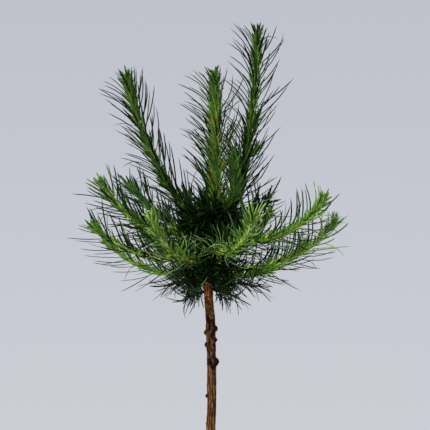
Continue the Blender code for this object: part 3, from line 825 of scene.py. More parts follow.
class Seat:
    """Where a needle grows: its root, its shoot's direction there and its own way out.

    On a level shoot, upper and lower say how far the needle stands above it or below, from 0 to 1.
    """

    def __init__(self, root, direction, turn):
        self.root = root
        self.direction = direction
        self.outward = side_of(direction, turn)
        self.across = direction.cross(self.outward)
        self.level = sqrt(max(0, 1 - direction.z**2))
        self.upper = max(0, self.outward.z) * self.level
        self.lower = max(0, -self.outward.z) * self.level

    def lean(self, usual, young):
        """How far the needle leans at its root and point; some lean out at once and then turn back."""
        right = SIDE_LEAN * max(0, self.outward.x) * abs(self.direction.z)
        wide = usual[0] + right + LOWER_LEAN[0] * self.lower, usual[1] - right - LOWER_LEAN[1] * self.lower
        return [far + (close - far) * young for far, close in zip(wide, TIP_LEAN)]

    def pull(self, sway, drop=0):
        """What bends the needle besides its lean: up on a level shoot, and to -X on an upright one."""
        lift = LIFT * self.level * (1 - LOWER_SINK * self.lower) - drop * (1 - self.upper)
        return Vector((-sway * abs(self.direction.z) - UPPER_SWAY * self.upper, 0, lift))

    def plain(self, lean, pull, length):
        """Points along a needle that leans outward more and more and follows its pull, from root to tip."""
        points = [self.root]
        for share, stretch in NEEDLE_STRETCHES:
            aim = leaning(self.direction, self.outward, lean[0] + (lean[1] - lean[0]) * share) + pull * share
            points.append(points[-1] + aim.normalized() * length * stretch)
        return points

    def stray(self, lean, length, hooks, chance):
        """Points along a needle that curls any way, or along one that hooks down."""
        aim = leaning(self.direction, self.outward, lean[0])
        if hooks and abs(aim.z) < NEARLY_UPRIGHT:
            axis = aim.cross(-UP).normalized()
            return curled_line(self.root, aim, axis, chance.uniform(*STRAY_CURL), 0, length)
        axis = side_of(aim, chance.uniform(0, 360))
        curl = chance.uniform(*STRAY_CURL) * chance.choice((-1, 1))
        return curled_line(self.root, aim, axis, curl, chance.uniform(-STRAY_SWING, STRAY_SWING), length)


def meets_stem(points):
    """Whether a needle runs through the stem beyond its root, or hangs before its clear part."""
    for point in points[2:]:
        above = (point.z - soil_top) / MM
        if above > STEM_COURSE[-1][0]:
            continue
        centre, radius = stem_at(above)
        if (point - centre).length < radius + STEM_GAP:
            return True
        if above < CLEAR_STEM[0] and abs(point.x - centre.x) < CLEAR_STEM[1] * MM:
            return True
    return False


# Meshes


def linked(name, data):
    """A new object in the scene."""
    made = bpy.data.objects.new(name, data)
    bpy.context.scene.collection.objects.link(made)
    return made


def mesh_from(shape, name):
    """The mesh of a shape that is finished."""
    mesh = bpy.data.meshes.new(name)
    shape.to_mesh(mesh)
    shape.free()
    return mesh


class Shell:
    """Vertices, faces and their tones, gathered for one joined piece."""

    def __init__(self):
        self.points = []
        self.faces = []
        self.tones = []

    def needle(self, line, across, width, tones):
        """One flattened, tapering, pointed needle along its line, with its breadth along `across`."""
        first = len(self.points)
        last = len(NEEDLE_RINGS) - 1
        for index in range(last):
            tangent = (line[index + 1] - line[max(index - 1, 0)]).normalized()
            side = (across - tangent * across.dot(tangent)).normalized()
            upper = tangent.cross(side)
            share = NEEDLE_RINGS[index][1]
            broad = side * width * share / 2
            thick = upper * width * NEEDLE_THICKNESS * share / 2
            middle = line[index]
            self.points += [middle + broad, middle + thick, middle - broad, middle - thick]
        self.points.append(line[last])
        self.faces.append((first + 3, first + 2, first + 1, first))
        self.tones.append(tones[0])
        for index in range(last):
            low = first + 4 * index
            for corner in range(4):
                turned = (corner + 1) % 4
                if index < last - 1:
                    self.faces.append((low + corner, low + turned, low + 4 + turned, low + 4 + corner))
                else:
                    self.faces.append((low + corner, low + turned, low + 4))
                self.tones.append(tones[NEEDLE_BANDS[index]])

    def wrap(self, first, sides, rings, tone_at, ends):
        """Faces round the rings of points that start at the first one, and a cap at each end."""
        for ring in range(rings):
            low = first + sides * ring
            for corner in range(sides):
                turned = (corner + 1) % sides
                self.faces.append((low + corner, low + turned, low + sides + turned, low + sides + corner))
                self.tones.append(tone_at(ring, corner))
        top = first + sides * rings
        self.faces.append(tuple(reversed(range(first, first + sides))))
        self.faces.append(tuple(range(top, top + sides)))
        self.tones += ends

    def tube(self, line, radius_at, sides, tone_at, ridges=(0, 0)):
        """A closed tube whose cross-section may have low lengthwise ridges."""
        first = len(self.points)
        side = side_of((line[1] - line[0]).normalized(), 0)
        rings = len(line) - 1
        for index, point in enumerate(line):
            tangent = (line[min(index + 1, rings)] - line[max(index - 1, 0)]).normalized()
            side = (side - tangent * side.dot(tangent)).normalized()
            other = tangent.cross(side)
            radius = radius_at(index / rings)
            for corner in range(sides):
                angle = 2 * pi * corner / sides
                ridge = 1 + ridges[1] * cos(ridges[0] * angle)
                self.points.append(point + (side * cos(angle) + other * sin(angle)) * radius * ridge)
        ends = [tone_at(0), tone_at(1)]
        self.wrap(first, sides, rings, lambda ring, _: tone_at((ring + 0.5) / rings), ends)

    def build(self, name, materials):
        """The joined mesh, with a material for each tone that it uses."""
        used = sorted(set(self.tones))
        mesh = bpy.data.meshes.new(name)
        mesh.from_pydata(self.points, [], self.faces)
        for tone in used:
            mesh.materials.append(materials[tone])
        slots = [used.index(tone) for tone in self.tones]
        mesh.polygons.foreach_set("material_index", slots)
        mesh.shade_smooth()
        mesh.validate()
        return linked(name, mesh)


def tapered(radii):
    return lambda share: radii[0] + (radii[1] - radii[0]) * share


# Foliage


def kind_of(name):
    """Whether a shoot hangs under the crown, stands upright or spreads."""
    if name in UNDERSHOOTS:
        return "under"
    return "upright" if name in NEEDLE_PIECES["needles_tall"] else "level"


def group_of(name):
    return next((group for group, members in TONE_GROUPS.items() if name in members), "bright")


def is_missing(name, young, seat, chance):
    """Whether a long needle is left out, at a level shoot's side or under it."""
    at_side = abs(seat.direction.z) < NEARLY_UPRIGHT and abs(seat.outward.z) < SIDE_BAND
    if at_side and chance.random() < SIDE_GAP * (1 - young):
        return True
    return seat.lower > UPPER_SHARE and chance.random() < LOWER_GAPS.get(name, 0)


def long_needle(name, tones, size, width, seat):
    """Length, width and tones of a long needle, which differ above and below a level shoot, the tones darker
    there as painted shade.
    """
    if name in UNDERSHOOTS:
        size *= 1 + UNDER_UPPER * seat.upper
    else:
        narrow = LOWER_WIDTHS.get(name, LOWER_WIDTH)
        width *= 1 + (UPPER_WIDTH - 1) * seat.upper + (narrow - 1) * seat.lower
    size *= 1 + (LOWER_LENGTH - 1) * seat.lower
    # above and below the shoot the needles take darker tones, as painted shade
    if seat.upper > UPPER_SHARE:
        tones = SHADED_UPPER_TONES
    elif seat.lower > UPPER_SHARE:
        tones = SHADED_LOWER_TONES.get(group_of(name), SHADED_LOWER_TONES["bright"])
    return size, width, tones


def grown_on(seat, young, spray, tones, sway, chance, name, strays):
    """Line, width and tones of a needle, or nothing where a long one is missing."""
    tip = min(TIP_NEEDLE, spray.length)
    usual = [angle + chance.uniform(-spread, spread) for angle, spread in zip(spray.lean, LEAN_SPREAD)]
    lean = seat.lean(usual, young)
    size = (spray.length + (tip - spray.length) * young) * chance.triangular(*LENGTH_SPREAD)
    width = spray.width * chance.uniform(*WIDTH_SPREAD)
    hanging = name in UNDERSHOOTS
    if strays is not None and chance.random() < strays * (1 - young):
        line = seat.stray(lean, size, hanging, chance)
        return line, width * STRAY_WIDTH, STRAY_TONES if tones == LONG_TONES["pale"] else tones
    pull = seat.pull(sway, UNDER_DROP if hanging else 0) * (1 - young / 2) * chance.uniform(*PULL_SPREAD)
    if strays is not None:
        if is_missing(name, young, seat, chance):
            return None
        size, width, tones = long_needle(name, tones, size, width, seat)
    return seat.plain(lean, pull, size), width, tones


def needles_on(shell, line, start, spray, tones, sway, chance, name="", strays=None, spacing=1):
    """Needles in a spiral up a shoot or twig: short and close to the line at its growing end.

    Where a share of strays is given, they are long ones.
    """
    length = line_length(line)
    count = max(FEWEST_NEEDLES, round((length - start) / spray.spacing / spacing))
    phase = chance.uniform(0, 360)
    for index in range(count):
        place = start + (index + 0.5 + chance.uniform(-PLACE_SPREAD, PLACE_SPREAD)) * (length - start) / count
        young = max(0, 1 - (length - place) / length / TIP_SHARES.get(name, TIP_SHARE))
        turn = phase + index * GOLDEN_TURN + chance.uniform(-TURN_SPREAD, TURN_SPREAD)
        seat = Seat(*along(line, place), turn)
        if -seat.outward.y > OPEN_SIDE and chance.random() < OPEN_SIDES.get(name, 0) * (1 - young):
            continue
        seat.root += seat.outward * SHOOT_RADII[1] * NEEDLE_SINK
        grown = grown_on(seat, young, spray, tones, sway, chance, name, strays)
        if not grown:
            continue
        points, width, choice = grown
        # needles near a shoot's foot take dark tones, as painted shade
        if place < SHADED_FEET.get(name, 0) * length * chance.random():
            choice = SHADED_FOOT_TONES
        if not meets_stem(points):
            shell.needle(points, seat.across, width, chance.choice(choice))


def tuft_on(shell, line, tuft, tones, chance):
    """The broad young needles that stand round a shoot's growing end."""
    length = line_length(line)
    for index in range(tuft.count):
        seat = Seat(*along(line, length - tuft.depth * chance.random()), index * GOLDEN_TURN)
        lean = [chance.uniform(*span) for span in TUFT_LEANS]
        points = seat.plain(lean, seat.pull(0) / 2, chance.uniform(*tuft.lengths))
        shell.needle(points, seat.across, tuft.width, chance.choice(tones))


def side_twigs_on(name, line, chance):
    """Lines of the short side twigs on the older half of a shoot."""
    places = SIDE_TWIGS.get(name)
    if not places:
        count, *spans = UNDER_TWIGS if name in UNDERSHOOTS else LIMB_TWIGS
        places = [[chance.uniform(*span) for span in spans] for _ in range(count)]
    rise = UNDER_TWIG_RISE if name in UNDERSHOOTS else LIMB_TWIG_RISE
    lines = []
    for share, heading, length in places:
        root, direction = along(line, share * line_length(line))
        outward = heading_vector(heading, 0)
        outward = (outward - direction * outward.dot(direction)).normalized()
        aim = leaning(direction, outward, TWIG_LEAN)
        points = [root]
        for step in range(TWIG_STEPS):
            bent = (aim + Vector((0, 0, rise * step))).normalized()
            points.append(points[-1] + bent * length * MM / TWIG_STEPS)
        lines.append(points)
    return lines


def draw_shoot(twigs, name, line):
    """One shoot's own stem: olive at its foot, and green or lime where it still grows; a hanging shoot's is
    dark, as painted shade.
    """
    tones = SHOOT_TONES[kind_of(name)]

    def tone_at(share):
        return next(tone for end, tone in tones if share < end)

    twigs.tube(line, tapered(SHOOT_RADII), SHOOT_SIDES, tone_at, SHOOT_RIDGES)


def dress_twigs(shell, twigs, name, line, chance):
    """The side twigs of a shoot with their needles."""
    group = group_of(name)
    for side in side_twigs_on(name, line, chance):
        if name in UNDERSHOOTS:
            # dark side twigs under the crown, as painted shade
            twigs.tube(side, tapered(UNDER_TWIG_RADII), TWIG_SIDES, lambda share: "twig_dark")
            needles_on(shell, side, MM, SIDE_UNDER, LONG_TONES[group], SWAY, chance, name, UNDER_STRAYS / 2)
            continue
        twigs.tube(side, tapered(LIMB_TWIG_RADII), TWIG_SIDES, lambda share: "twig_green")
        for spray in (SIDE_LONG, SIDE_CLOSE):
            needles_on(shell, side, MM, spray, CLOSE_TONES[group], LIMB_SWAY.get(name, SWAY), chance)


def dress_shoot(shell, twigs, name, line):
    """One shoot with its long and close needles and its side twigs."""
    chance = random.Random(f"{SEED} {name}")
    kind, group = kind_of(name), group_of(name)
    start = stem_height(line[0].z / MM)[1] + MM if kind == "under" else 0
    sway = LIMB_SWAY.get(name, SWAY)
    strays = UNDER_STRAYS if kind == "under" else STRAY_SHARES.get(name, STRAY_SHARE)
    spacing = LONG_SPACING.get(name, 1)
    needles_on(shell, line, start, LONG_SPRAYS[kind], LONG_TONES[group], sway, chance, name, strays, spacing)
    if name in STUB_SPACING:
        foot = 0 if name in OPEN_SIDES else STUB_STARTS.get(name, STUB_START) * line_length(line)
        needles_on(shell, line, foot, STUBS, STUB_TONES, sway, chance, spacing=STUB_SPACING[name])
    spray = CLOSE_FRONT if name in OPEN_SIDES else CLOSE_SPRAYS[kind]
    spacing = CLOSE_SPACING.get(name, 1)
    needles_on(shell, line, start, spray, CLOSE_TONES[group], sway, chance, name, None, spacing)
    if name in LIMBS:
        tones = TUFT_TONES.get(group, TUFT_TONES["green"])
        tuft_on(shell, line, LIMB_TUFTS.get(name, SHORT_TUFT), tones, chance)
    draw_shoot(twigs, name, line)
    dress_twigs(shell, twigs, name, line, chance)


def spur_lines(boughs, chance):
    """Root line of every spur, on the stem's top and on the bare boughs."""
    lines = []
    height, top = SPUR_HEIGHTS
    turn = 0
    while height < top:
        centre, radius = stem_height(height)
        outward = heading_vector(turn, chance.uniform(*SPUR_TILTS))
        lines.append([centre + outward * radius * SPUR_SINK, centre + outward * (radius + SPUR_LENGTH)])
        turn += GOLDEN_TURN
        height += SPUR_STEP if height > FOOT_TOP else FOOT_STEP
    for line in boughs.values():
        for share in BOUGH_SPURS:
            root, direction = along(line, share * line_length(line))
            outward = side_of(direction, chance.uniform(0, 360))
            aim = (outward + direction * SPUR_FORWARD).normalized()
            lines.append([root, root + aim * (BOUGH_RADII[1] + SPUR_LENGTH)])
    return lines


def rosette(shell, line, low, chance):
    """A tuft of needles that opens round a spur's end; low in the crown some of them hook down."""
    direction = (line[1] - line[0]).normalized()
    phase = chance.uniform(0, 360)
    # dark tones as painted shade: near-black in the heart, dark green at the foot
    tones = LONG_TONES["foot" if low else "heart"]
    drop, share, width = (FOOT_DROP, FOOT_LENGTH, FOOT_WIDTH) if low else (0, 1, ROSETTE_WIDTH)
    root = line[1] - direction * SPUR_CAP * MM
    for index in range(ROSETTE_NEEDLES):
        seat = Seat(root, direction, phase + index * GOLDEN_TURN)
        lean = [angle * chance.uniform(*ROSETTE_LEANS) for angle in ROSETTE_LEAN]
        size = share * ROSETTE_LENGTH * chance.uniform(*ROSETTE_LENGTHS)
        if low and chance.random() < FOOT_HOOKS:
            points = seat.stray(lean, size, True, chance)
        else:
            points = seat.plain(lean, seat.pull(SWAY, drop) * chance.uniform(*ROSETTE_PULLS), size)
        if not meets_stem(points):
            shell.needle(points, seat.across, width, chance.choice(tones))


def make_heart(boughs, twigs, leaf):
    """The rosettes in the middle of the crown, dark as painted shade."""
    heart = Shell()
    chance = random.Random(f"{SEED} heart")
    for line in spur_lines(boughs, chance):
        twigs.tube(line, tapered(SPUR_RADII), TWIG_SIDES, lambda share: "twig_brown")
        rosette(heart, line, line[0].z < FOOT_TOP * MM, chance)
    made = heart.build("needles_heart", leaf)
    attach(made, "root")


def whorl_needles(shell, line, share, headings, kind, tones, chance):
    """Fresh needles that curl over and back as they grow out of a whorl."""
    count, lengths, rises, curls = kind
    for _ in range(count):
        place = (share + chance.uniform(*WHORL_PLACES)) * line_length(line)
        root, direction = along(line, max(place, 0))
        heading = heading_vector(chance.uniform(*headings), chance.uniform(*rises))
        aim = (heading + direction * WHORL_FORWARD).normalized()
        axis = Matrix.Rotation(radians(chance.uniform(-WHORL_TILT, WHORL_TILT)), 3, aim) @ Vector((0, 1, 0))
        curl = chance.uniform(*curls) * chance.choice((-1, 1))
        swing = chance.uniform(*WHORL_SWINGS) * WHORL_SWING * chance.choice((-1, 1))
        points = curled_line(root, aim, axis, curl, swing, chance.uniform(*lengths) * MM)
        if not meets_stem(points):
            shell.needle(points, axis, WHORL_WIDTH * chance.uniform(*WIDTH_SPREAD), chance.choice(tones))


def make_whorls(shoots, leaf):
    """Thin, curled, fresh needles that open towards the viewer where this year's growth began."""
    shell = Shell()
    chance = random.Random(f"{SEED} whorls")
    for name, whorls in WHORLS.items():
        for share, *headings in whorls:
            whorl_needles(shell, shoots[name], share, WHORL_OPEN, WHORL_SHORT, STUB_TONES, chance)
            whorl_needles(shell, shoots[name], share, headings, WHORL_LONG, WHORL_TONES, chance)
    made = shell.build("needles_whorls", leaf)
    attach(made, "root")


def make_foliage(boughs, shoots, leaf, twig):
    """Every shoot with its side twigs and needles, joined by kind and by side of the crown."""
    twigs = Shell()
    for piece, members in NEEDLE_PIECES.items():
        shell = Shell()
        for name in members:
            dress_shoot(shell, twigs, name, shoots[name])
        made = shell.build(piece, leaf)
        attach(made, "root")
        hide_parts(*["foliage_" + name for name in members])
    make_heart(boughs, twigs, leaf)
    make_whorls(shoots, leaf)
    made = twigs.build("twigs", twig)
    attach(made, "root")
    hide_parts(*["foliage_" + name for name in shoots])


# Bark: each relief goes from 0 in a crack to 1 on a ridge


def limited(value):
    return min(max(value, 0), 1)


def on_bark(angle, above, cell):
    """Where in the noise a place on the bark lies."""
    return Vector((cell[0] * cos(angle), cell[0] * sin(angle), above / cell[1]))


def stock_relief(angle, above):
    """Rough lengthwise ridges of the stock."""
    place = on_bark(angle + radians(STOCK_TURN), above, STOCK_CELL)
    ridge = 1 - abs(noise.noise(place) * STOCK_SHARPNESS)
    fleck = noise.noise(Vector((place.x, place.y, above / STOCK_FLECK)) * FLECK_SCALE)
    return limited(STOCK_SHARES[0] * ridge + STOCK_SHARES[1] * fleck)


def scion_relief(angle, above):
    """Small scales with cracks between them, and rings across the stem."""
    place = on_bark(angle, above, SCION_CELL)
    near, _ = noise.voronoi(place)
    scale = min(1, (near[1] - near[0]) * SCION_CRACK)
    every, middle, spread = SCION_RING
    ring = exp(-(((above % every) - middle) ** 2) / spread)
    shares = SCION_SHARES
    return limited(shares[0] * scale + shares[1] * ring + shares[2] * noise.noise(place * FLECK_SCALE))


def graft_relief(angle, above):
    """Corky, knobbly skin round the graft."""
    place = on_bark(angle, above, GRAFT_CELL)
    middle, broad, fine, finer = GRAFT_KNOBS
    return limited(middle + broad * noise.noise(place) + fine * noise.noise(place * finer))


# The relief and its depth in mm in each zone
RELIEFS = {
    "stock": (stock_relief, 0.9),
    "dark_stock": (graft_relief, 0.7),
    "graft": (graft_relief, 0.8),
    "collar": (scion_relief, 0.5),
    "scion": (scion_relief, 0.7),
    "crown": (scion_relief, 0.4),
}


def zone_of(angle, above):
    """The bark that shows at a place on the stem; the borders wander round it."""
    if knot_lift(angle, above, KNOT_STEM) > KNOT_SKIN:
        return "graft"
    swing, layer = ZONE_CELL
    wander = ZONE_WANDER * noise.noise(Vector((swing * cos(angle), swing * sin(angle), layer)))
    return next(zone for zone, end in BARK_ZONES if above < end + wander)


def knot_lift(angle, above, radius):
    """How far the knots push the bark out at a place on the stem."""
    lift = 0
    for height, heading, size in KNOTS:
        turn = (angle - radians(heading) + pi) % (2 * pi) - pi
        spread = ((turn * radius / MM) ** 2 + (above - height) ** 2) / (size * KNOT_SPREAD) ** 2
        if spread < 1:
            lift = max(lift, size * (1 + KNOT_RISE) * (sqrt(1 - spread) - KNOT_SINK))
    return lift * MM


def root_lobe(angle, above):
    """Low buttresses where the stem meets the soil."""
    fade = exp(-above * MM / ROOT_LOBE_RISE)
    return ROOT_LOBE_DEPTH * fade * cos(ROOT_LOBES * angle + ROOT_LOBE_SHIFT * sin(2 * angle))


def add_stem(shell, reliefs):
    """The stem's own skin, with its ridges, scales, knots and flare in the mesh."""
    first = len(shell.points)
    top = STEM_COURSE[-1][0]
    rings = ceil(top * MM / STEM_RING)
    for ring in range(rings + 1):
        above = top * ring / rings
        centre, radius = stem_at(above)
        for corner in range(STEM_SIDES):
            angle = 2 * pi * corner / STEM_SIDES
            relief, depth = RELIEFS[zone_of(angle, above)]
            value = relief(angle, above)
            reach = radius + (value - RELIEF_TOP) * depth * MM + root_lobe(angle, above)
            reach += knot_lift(angle, above, radius)
            shell.points.append(centre + Vector((cos(angle), sin(angle), 0)) * reach)
            reliefs.append(value)

    def tone_at(ring, corner):
        return zone_of(2 * pi * (corner + 0.5) / STEM_SIDES, top * (ring + 0.5) / rings)

    shell.wrap(first, STEM_SIDES, rings, tone_at, ["stock", "scion"])


def add_knot_faces(shell, reliefs):
    """A small cut face in the middle of each knot."""
    last = len(KNOT_FACE) - 1
    for height, heading, size in KNOTS:
        centre, radius = stem_at(height)
        outward = heading_vector(heading, 0)
        reach = radius + size * (1 + KNOT_RISE) * (1 - KNOT_SINK) * MM
        foot = centre + outward * (reach - KNOT_FACE_SINK)
        before = len(shell.points)
        line = [foot + outward * out * MM for out, _ in KNOT_FACE]
        radii = [size * MM * share for _, share in KNOT_FACE]
        shell.tube(line, lambda share: radii[round(share * last)], KNOT_FACE_SIDES, lambda share: "knot")
        reliefs += [RELIEF_TOP] * (len(shell.points) - before)


def add_boughs(shell, reliefs, boughs):
    """Each bough with a collar where it leaves the stem and the same scaly relief."""
    for index, line in enumerate(boughs.values()):
        first = len(shell.points)
        length = line_length(line)
        rings = ceil(length / BOUGH_RING)
        direction = (line[-1] - line[0]).normalized()
        side = side_of(direction, 0)
        other = direction.cross(side)
        for ring in range(rings + 1):
            place = length * ring / rings
            centre = line[0] + direction * place
            collar = COLLAR * exp(-place / COLLAR_REACH)
            radius = BOUGH_RADII[0] + (BOUGH_RADII[1] - BOUGH_RADII[0]) * ring / rings + collar
            for corner in range(BOUGH_SIDES):
                angle = 2 * pi * corner / BOUGH_SIDES
                value = scion_relief(angle, place / MM + BOUGH_SHIFT * index)
                reach = radius + (value - RELIEF_TOP) * BOUGH_RELIEF * MM
                shell.points.append(centre + (side * cos(angle) + other * sin(angle)) * reach)
                reliefs.append(value)
        # the boughs take the crown's dark bark, as painted shade
        shell.wrap(first, BOUGH_SIDES, rings, lambda ring, corner: "crown", ["crown", "crown"])


def make_bark(boughs, bark):
    shell = Shell()
    reliefs = []
    add_stem(shell, reliefs)
    add_knot_faces(shell, reliefs)
    add_boughs(shell, reliefs, boughs)
    made = shell.build("stem_and_boughs", bark)
    attribute = made.data.attributes.new("relief", "FLOAT", "POINT")
    attribute.data.foreach_set("value", reliefs)
    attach(made, "root")
    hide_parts("trunk", *["bough_" + name for name in boughs])


# Soil


def soil_height(x, y, wall):
    """Height of the uneven soil: a low mound round the stem that falls to the wall."""
    out = sqrt(x * x + y * y) / wall
    edge = soil_top - SOIL_FALL
    mound = soil_top - (soil_top - edge) * out * out
    lumps = noise.noise(Vector((x, y, 0)) / SOIL_LUMP)
    crumbs = noise.noise(Vector((x, y, SOIL_CRUMB_LAYER)) / SOIL_CRUMB)
    return mound + SOIL_BUMP * (lumps + SOIL_CRUMB_SHARE * crumbs) * min(1, out * SOIL_CALM)


def turned_shell(profile, segments):
    """Points and faces of a closed turned form whose profile starts and ends on the axis."""
    points, faces = [Vector((0, 0, profile[0][1]))], []
    for radius, height in profile[1:-1]:
        for step in range(segments):
            angle = 2 * pi * step / segments
            points.append(Vector((radius * cos(angle), radius * sin(angle), height)))
    points.append(Vector((0, 0, profile[-1][1])))
    rings = len(profile) - 2
    last = 1 + (rings - 1) * segments
    for step in range(segments):
        after = (step + 1) % segments
        faces.append((0, 1 + step, 1 + after))
        for ring in range(rings - 1):
            low = 1 + ring * segments
            faces.append((low + step, low + segments + step, low + segments + after, low + after))
        faces.append((last + step, len(points) - 1, last + after))
    return points, faces


def make_soil(material):
    low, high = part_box("soil")
    wall = high.x
    rings = [(wall * ring / SOIL_RINGS, soil_top) for ring in range(SOIL_RINGS + 1)]
    foot, base = SOIL_FOOT
    points, faces = turned_shell([*rings, foot, (base, low.z), (0, low.z)], SOIL_SEGMENTS)
    for point in points[: 1 + SOIL_RINGS * SOIL_SEGMENTS]:
        point.z = soil_height(point.x, point.y, wall)
    mesh = bpy.data.meshes.new("soil_surface")
    mesh.from_pydata(points, [], faces)
    mesh.materials.append(material)
    mesh.shade_smooth()
    made = linked("soil_surface", mesh)
    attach(made, "root")
    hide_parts("soil")
    return wall


def add_chip(shape, wall, tones, chance):
    """An uneven flattened lump somewhere on the soil."""
    length = chance.uniform(*CHIP_LENGTHS) * MM
    out = sqrt(chance.uniform(CHIP_FREE, 1)) * (wall - length / 2 - MM)
    angle = chance.uniform(0, 2 * pi)
    x, y = out * cos(angle), out * sin(angle)
    size = Vector((length, length * chance.uniform(*CHIP_BREADTHS), length * chance.uniform(*CHIP_DEPTHS)))
    lump = bmesh.ops.create_icosphere(shape, subdivisions=CHIP_DIVISIONS, radius=0.5)["verts"]
    turn = Matrix.Rotation(chance.uniform(0, 2 * pi), 3, "Z")
    tilt = turn @ Matrix.Rotation(chance.uniform(-CHIP_TILT, CHIP_TILT), 3, "X")
    middle = Vector((x, y, soil_height(x, y, wall) + size.z * CHIP_LIFT))
    fineness, apart, depth = CHIP_NOISE
    offset = Vector((chance.uniform(0, apart), chance.uniform(0, apart), 0))
    tone = chance.randrange(tones)
    for vert in lump:
        rough = 1 + depth * noise.noise(vert.co * fineness + offset)
        blocky = Vector([max(-CHIP_BLOCK, min(CHIP_BLOCK, value)) for value in vert.co]) * rough
        vert.co = middle + tilt @ Vector([a * b for a, b in zip(blocky, size * CHIP_FILL)])
    for face in {face for vert in lump for face in vert.link_faces}:
        face.material_index = tone


def make_chips(wall, materials):
    """Bark chips that lie on the soil."""
    chance = random.Random(f"{SEED} chips")
    shape = bmesh.new()
    for _ in range(CHIPS):
        add_chip(shape, wall, len(materials), chance)
    mesh = mesh_from(shape, "bark_chips")
    for item in materials:
        mesh.materials.append(item)
    made = linked("bark_chips", mesh)
    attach(made, "root")


# Pot


def arc(centre, radius, start, end, steps):
    """Points (radius, height) on an arc of a profile, its angles in degrees."""
    angles = [radians(start + (end - start) * step / steps) for step in range(steps + 1)]
    return [(centre[0] + radius * cos(angle), centre[1] + radius * sin(angle)) for angle in angles]


def wall_profile(foot, head):
    """The outer wall from under the rim down to the base, with low moulded ribs."""
    points = []
    for step in range(WALL_STEPS + 1):
        share = 1 - step / WALL_STEPS
        radius, height = (low + (high - low) * share for low, high in zip(foot, head))
        rib = sum(exp(-(((share - place) * RIB_SHARPNESS) ** 2)) for place in RIBS)
        points.append((radius + RIB_HEIGHT * rib, height))
    return points


def pot_profile(rim, top):
    """The pot's section (radius, height) from the inner edge of its rim, down outside and back up inside."""
    inner = rim - RIM_STEP - POT_WALL
    head = (rim - RIM_STEP, top - RIM_DEPTH - MM)
    base = BASE_RADIUS - BASE_BEND
    return [
        (inner, top - MM),
        *arc((inner + MM, top - MM), MM, 180, 90, 4),
        *arc((rim - RIM_TOP_ROUND, top - RIM_TOP_ROUND), RIM_TOP_ROUND, 90, 0, 6),
        *arc((rim - RIM_FOOT_ROUND, top - RIM_DEPTH + RIM_FOOT_ROUND), RIM_FOOT_ROUND, 0, -90, 4),
        *wall_profile((BASE_RADIUS, BASE_BEND), head),
        *arc((base, BASE_BEND), BASE_BEND, 0, -90, 8),
        (0, 0),
        (0, POT_WALL),
        *arc((base, BASE_BEND + POT_WALL), BASE_BEND - POT_WALL, -90, 0, 6),
    ]


def turned_pot(profile):
    """The pot as its closed section turned about the axis."""
    shape = bmesh.new()
    verts = [shape.verts.new((radius, 0, height)) for radius, height in profile]
    for first, second in zip(verts, [*verts[1:], verts[0]]):
        shape.edges.new((first, second))
    section = [*shape.verts, *shape.edges]
    turn = {"cent": (0, 0, 0), "axis": (0, 0, 1), "angle": 2 * pi, "steps": POT_SEGMENTS, "use_merge": True}
    bmesh.ops.spin(shape, geom=section, **turn)
    bmesh.ops.remove_doubles(shape, verts=shape.verts, dist=MERGE)
    bmesh.ops.recalc_face_normals(shape, faces=shape.faces)
    return linked("nursery_pot", mesh_from(shape, "nursery_pot"))


def make_pot(material):
    _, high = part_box("pot")
    made = turned_pot(pot_profile(high.x, high.z))
    drill(made)
    mesh = made.data
    mesh.materials.clear()
    mesh.materials.append(material)
    mesh.shade_smooth()
    mesh.set_sharp_from_angle(angle=radians(POT_SMOOTH))
    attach(made, "root")
    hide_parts("pot")


def drain_cutter(heading):
    """A round bar where a drain hole goes."""
    place = Matrix.Translation((DRAIN_CIRCLE * cos(heading), DRAIN_CIRCLE * sin(heading), 0))
    size = {"radius1": DRAIN_RADIUS, "radius2": DRAIN_RADIUS, "depth": DRAIN_CUT}
    hole = bmesh.new()
    bmesh.ops.create_cone(hole, cap_ends=True, segments=DRAIN_SIDES, matrix=place, **size)
    return bpy.data.objects.new("drain_cutter", mesh_from(hole, "drain_cutter"))


def drill(pot):
    """Cuts the drain holes through the pot's base."""
    cutters = bpy.data.collections.new("drain_cutters")
    for index in range(DRAIN_HOLES):
        cutters.objects.link(drain_cutter(2 * pi * (index + 0.5) / DRAIN_HOLES))
    cut = pot.modifiers.new("drain", "BOOLEAN")
    cut.operation = "DIFFERENCE"
    cut.solver = "EXACT"
    cut.operand_type = "COLLECTION"
    cut.collection = cutters
    bpy.context.view_layer.update()
    drilled = bpy.data.meshes.new_from_object(pot.evaluated_get(bpy.context.evaluated_depsgraph_get()))
    pot.modifiers.clear()
    pot.data = drilled
    for cutter in list(cutters.objects):
        bpy.data.objects.remove(cutter, do_unlink=True)
    bpy.data.collections.remove(cutters)


# Stage


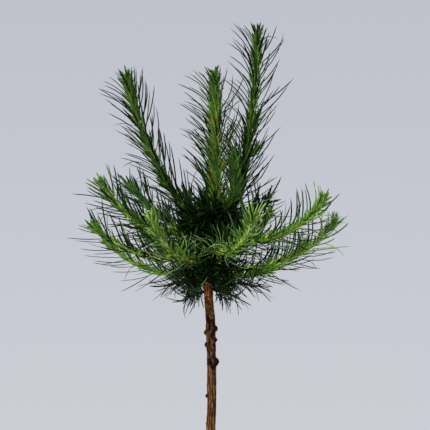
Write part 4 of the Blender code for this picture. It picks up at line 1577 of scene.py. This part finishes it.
def make_world():
    """A pale backdrop, a little lighter low down, as a plain studio wall shows it."""
    world = bpy.data.worlds.new("studio")
    bpy.context.scene.world = world
    look = Look(world, "Background")
    split = look.node("SeparateXYZ", look.coordinates["Generated"], 0)
    span = look.node("MapRange", split.outputs["Z"], "Value", From_Min=-SKY_HALF, From_Max=SKY_HALF)
    sky = look.ramp(span.outputs["Result"], (0, 1), linears((SKY_LOW, SKY_HIGH)))
    look.links.new(sky, look.shader.inputs["Color"])


def make_floor():
    shape = bmesh.new()
    bmesh.ops.create_circle(shape, cap_ends=True, segments=FLOOR_SIDES, radius=FLOOR_RADIUS)
    mesh = mesh_from(shape, "floor")
    mesh.materials.append(speckled("pale_floor", "floor", linears(FLOOR_COLOURS)))
    floor = linked("floor", mesh)
    floor.location.z = -FLOOR_DROP


def make_lights():
    for name, place, size, power in LIGHTS:
        data = bpy.data.lights.new(name, "AREA")
        data.shape = "DISK"
        data.size = size
        data.energy = power
        data.color = WARM_WHITE
        lamp = linked(name, data)
        lamp.location = place
        lamp.rotation_euler = (LIGHT_TARGET - Vector(place)).to_track_quat("-Z", "Y").to_euler()


def make_camera():
    data = bpy.data.cameras.new("camera")
    data.sensor_width = SENSOR
    data.lens = SENSOR * abs(CAMERA_PLACE[1]) / PICTURE_SPAN
    data.clip_start, data.clip_end = CAMERA_CLIP
    camera = linked("camera", data)
    camera.location = CAMERA_PLACE
    camera.rotation_euler = (pi / 2, 0, 0)
    bpy.context.scene.camera = camera


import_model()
soil_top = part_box("trunk")[0].z

leaf_materials = {tone: needle_material(tone) for tone in TONES}
twig_materials = {name: twig_material(name) for name in TWIG_COLOURS}
bark_materials = {zone: bark_material(zone) for zone in BARK_COLOURS}
bark_materials["knot"] = speckled("knot_wood", "knot", linears(KNOT_COLOURS))
chip_materials = [chip_material(name) for name in CHIP_COLOURS]

bough_lines, shoot_lines = plan_limbs()
make_bark(bough_lines, bark_materials)
make_foliage(bough_lines, shoot_lines, leaf_materials, twig_materials)
soil_wall = make_soil(speckled("potting_mix", "soil", linears(SOIL_COLOURS)))
make_chips(soil_wall, chip_materials)
make_pot(pot_material())
make_world()
make_floor()
make_lights()
make_camera()
bpy.context.scene.view_settings.view_transform = "Standard"
